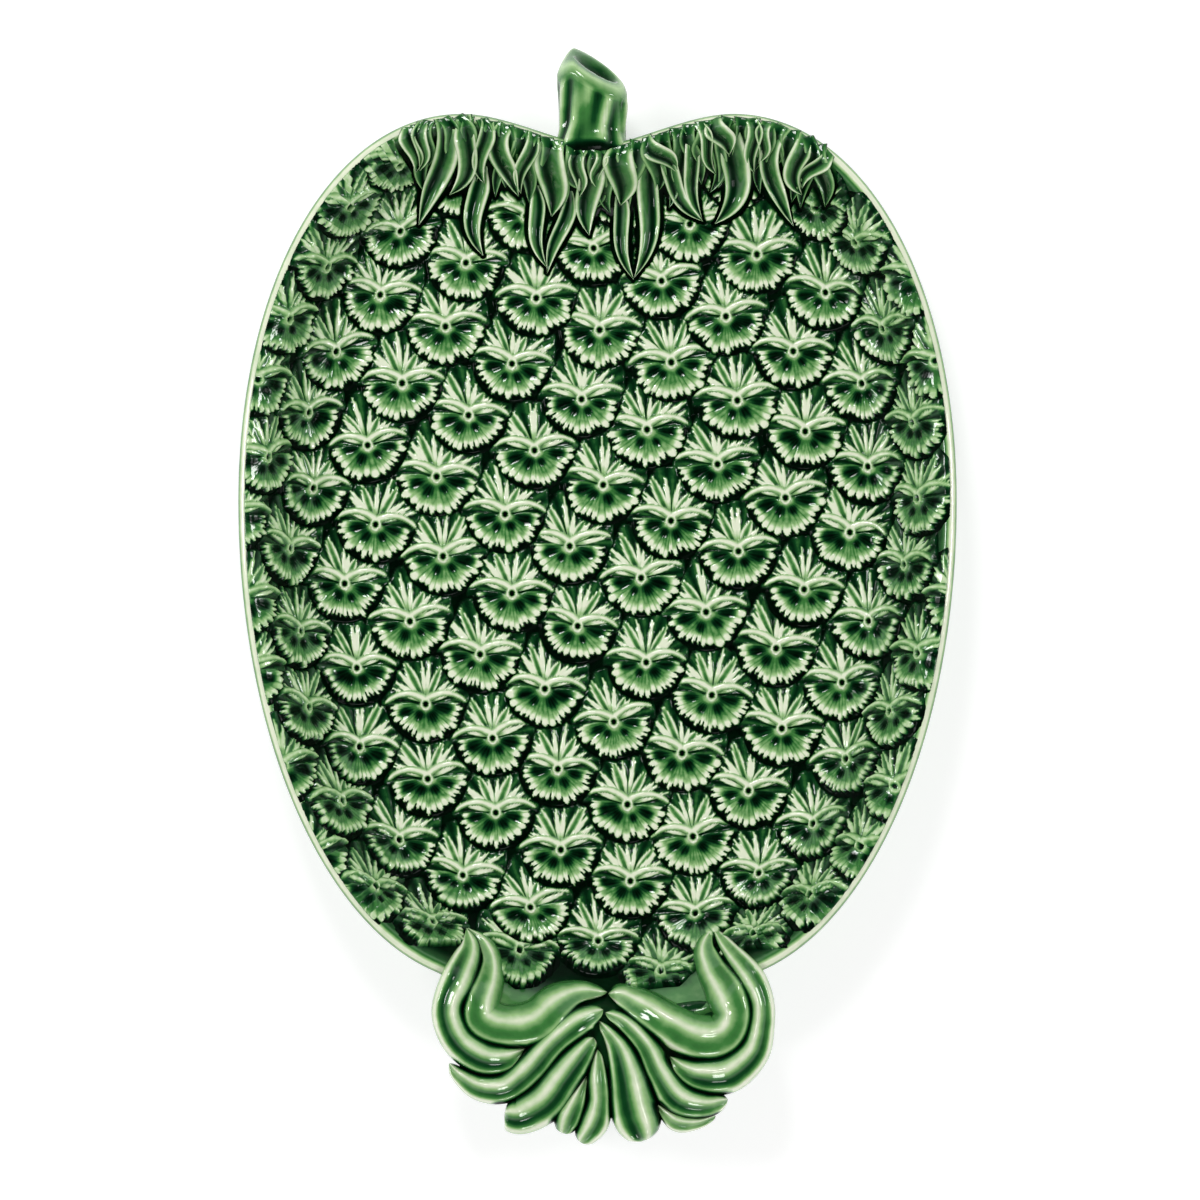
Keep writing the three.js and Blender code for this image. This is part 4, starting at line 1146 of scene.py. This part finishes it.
def press_crown_leaf(name, line):
    """One thick leaf of the crown."""
    node = "crown_leaf_" + name
    mesh, (turn,), (rank,) = clay_balls(node, 1, CROWN_AROUND, CROWN_ALONG)
    across, over, pole, t = leaf_section(turn, rank, CROWN_AROUND, CROWN_UNDER, CROWN_ALONG)
    middle, way, half = crown_line(line, t)
    right = right_of(way)
    plan = middle + right * (across * half * CROWN_FULLNESS)[:, None]
    size = np.sqrt(np.clip(2 * half / CROWN_FULL_WIDTH, 0, 1))
    side = np.abs(across)
    dome = np.sqrt(np.clip(1 - side ** 3.0, 0, 1))
    middle_way = (right * ((0, END_Y + CROWN_HEART) - middle)).sum(axis=1).mean()
    outer = across if middle_way < 0 else -across
    gutter = hump(outer, 0.32, 0.24) * (CROWN_INNER_GUTTER if name.startswith("inner") else 1)
    crest = hump(outer, -0.3, 0.24)
    ridge = hump(outer, -0.3, 0.15)
    wide = soft(2.5, 6.5, half)
    high = LEAF_POLE + size * (CROWN_RISE * dome + 0.9 * ridge - 1.3 * gutter)
    high = np.where(pole, LEAF_POLE, np.where(over, high, LEAF_BACK))
    ground = crown_ground(*plan.T)
    eased = np.maximum(eased_ground(*plan.T), ground - 0.4 * CROWN_RISE * size)
    points = np.column_stack([plan, np.where(over & ~pole, mix(ground, eased, dome), ground) + high])
    margin = hump(outer, 0.78, 0.16)
    relief = CROWN_TONE + 0.28 * crest + 0.34 * margin - 0.32 * gutter * wide - 0.1 * soft(-0.5, -0.9, outer)
    relief = relief * (1 - CREASE_DARK * near_other_leaves(name, plan) * soft(0.58, 0.9, side))
    relief = np.where(over, relief, CROWN_BACK_TONE)
    return fire(mesh, points, relief, leaf_glaze, [node])


crown = [press_crown_leaf(name, line) for name, line in CROWN.items()]
print("crown leaves:", len(crown))

# %% [markdown]
# ## The stem and the plate under the crown
# The stem is a stub with a slanting cut that is hollowed a little, and grooves run down its sides. It is a
# ball whose ranks go from its root along the side to the cut, and then over the cut to its middle. The
# plate that carries the crown is a slab with a rounded edge, flattened from a ball.

# %% Stem
STEM_X = -2
STEM_REACH = 29
STEM_ROOT = 2.5
STEM_HALF_WIDTH = 11.7
STEM_HALF_HEIGHT = 8.5
STEM_FLARE = 1.1
STEM_FOOT = 0.24
STEM_GROOVE = 0.06
STEM_TONE = 0.54
STEM_RISE = 5
STEM_CUT_ACROSS = 0.6
STEM_CUT_BACK = 0.55
STEM_CORNER = 10
STEM_DENT = 4
STEM_EDGE = 0.28
STEM_EDGE_DROP = 2.4
STEM_AROUND = 72
STEM_ALONG = 52
STEM_SIDE_RANKS = 36


def press_stem():
    """The stub at the dip of the rim."""
    mesh, (turn,), (rank,) = clay_balls("stem", 1, STEM_AROUND, STEM_ALONG)
    angle = turn * 2 * math.pi / STEM_AROUND
    t = np.clip((rank - 1) / (STEM_SIDE_RANKS - 1), 0, 1)
    shrink = np.where(rank <= STEM_SIDE_RANKS, 1, (STEM_ALONG - rank) / (STEM_ALONG - STEM_SIDE_RANKS))
    shrink = np.where(rank == 0, 0, shrink)
    groove = np.cos(8 * angle + 0.6 + 4.5 * t) * 0.6 + np.cos(13 * angle + 2 + 2.5 * t) * 0.4
    flare = mix(1, STEM_FLARE, t) + STEM_FOOT * soft(0.42, 0.1, t)
    spread = flare * (1 + STEM_GROOVE * groove * soft(1, 0.8, t)) * shrink
    sideways = STEM_HALF_WIDTH * spread * np.cos(angle)
    up = STEM_HALF_HEIGHT * spread * np.sin(angle)
    cut = DIP_Y + STEM_REACH - STEM_CUT_ACROSS * sideways - STEM_CUT_BACK * up
    edge = np.clip((shrink - 1 + STEM_EDGE) / STEM_EDGE, 0, 1)
    cut = cut - STEM_CORNER * soft(-6, -15, sideways) - STEM_EDGE_DROP * (1 - np.sqrt(1 - edge ** 2))
    hollow = soft(1.05, 0.6, np.hypot((sideways - 1.2) / 8, (up + 0.6) / 5)) * (rank > STEM_SIDE_RANKS)
    z = CREST_Z - STEM_HALF_HEIGHT + up + STEM_RISE * t
    root = DIP_Y - STEM_ROOT - (CREST_Z - z) / math.tan(WALL_ANGLE)
    y = mix(root, cut, t) - STEM_DENT * hollow
    points = np.column_stack([STEM_X + sideways, y, z])
    lip = hump(shrink, 0.86, 0.12) * (t > 0.9)
    relief = STEM_TONE + 0.36 * groove * (shrink == 1) * soft(1, 0.85, t) + 0.22 * lip - 0.34 * hollow
    relief = relief * mix(0.05, 1, soft(0.04, 0.14, t))
    return fire(mesh, points, relief, leaf_glaze, ["stem"])


stem = press_stem()
print("stem", len(stem.data.polygons), "faces")

# %% Crown plate
PLATE_X = 2
PLATE_HALF_WIDTH = 53
PLATE_REACH = 37
PLATE_THICKNESS = 7
PLATE_TONES = (0.3, 0.42)
PLATE_AROUND = 96
PLATE_ALONG = 24


def press_plate():
    """The slab outside the lip that carries the crown."""
    mesh, (turn,), (rank,) = clay_balls("crown_plate", 1, PLATE_AROUND, PLATE_ALONG)
    angle = turn * 2 * math.pi / PLATE_AROUND
    tilt = rank * math.pi / PLATE_ALONG
    reach = np.sin(tilt) ** 0.35
    level = np.sign(np.cos(tilt)) * np.abs(np.cos(tilt)) ** 0.5
    z = CREST_Z - PLATE_THICKNESS / 2 + PLATE_THICKNESS / 2 * level
    x = PLATE_X + PLATE_HALF_WIDTH * reach * np.cos(angle)
    y = END_Y + PLATE_REACH * reach * np.sin(angle)
    edge, way, out = from_floor_edge(x, y)
    push = bay_push(x, y, CREST_Z)
    inside = out < LIP_OUT + push
    pushed = edge + way * LIP_OUT - np.column_stack([np.zeros_like(push), push])
    plan = np.where(inside[:, None], pushed, np.column_stack([x, y]))
    relief = np.where(z > CREST_Z - 2, *PLATE_TONES)
    return fire(mesh, np.column_stack([plan, z]), relief, dish_glaze, ["crown_plate"])


plate = press_plate()
print("plate", len(plate.data.polygons), "faces")

# %% [markdown]
# ## The foot
# The foot ring is wiped bare before firing so that the tray doesn't stick to the kiln shelf. It keeps its
# CAD shape and gets the colour and grain of fired earthenware.

# %% Bare clay
CLAY_LOOK = {"Roughness": 0.8}
CLAY_COLOURS = ((0.42, 0.31, 0.18, 1), (0.72, 0.60, 0.42, 1))
GRIT = {"Scale": 900, "Detail": 4}
GRIT_BUMP = {"Strength": 0.3, "Distance": 0.1 * MM}


def bare_clay():
    """Fired earthenware: warm buff with fine grit."""
    material, tree, shader = fresh_material("bare_clay", CLAY_LOOK)
    place = tree.nodes.new("ShaderNodeTexCoord").outputs["Object"]
    grit = add_node(tree, "TexNoise", {"Vector": place, **GRIT}).outputs["Fac"]
    ramp = add_node(tree, "ValToRGB", {"Fac": grit})
    for stop, colour in zip(ramp.color_ramp.elements, CLAY_COLOURS):
        stop.color = colour
    bump = add_node(tree, "Bump", {"Height": grit, **GRIT_BUMP})
    feed(tree, shader, {"Base Color": ramp.outputs["Color"], "Normal": bump.outputs["Normal"]})
    return material


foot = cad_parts["foot_ring"]
foot.data.materials.clear()
foot.data.materials.append(bare_clay())
print("foot ring wiped bare")

# %% [markdown]
# ## The end of the lesson
# The colours are shown as they are written.

# %% Finish
bpy.context.scene.view_settings.view_transform = "Standard"
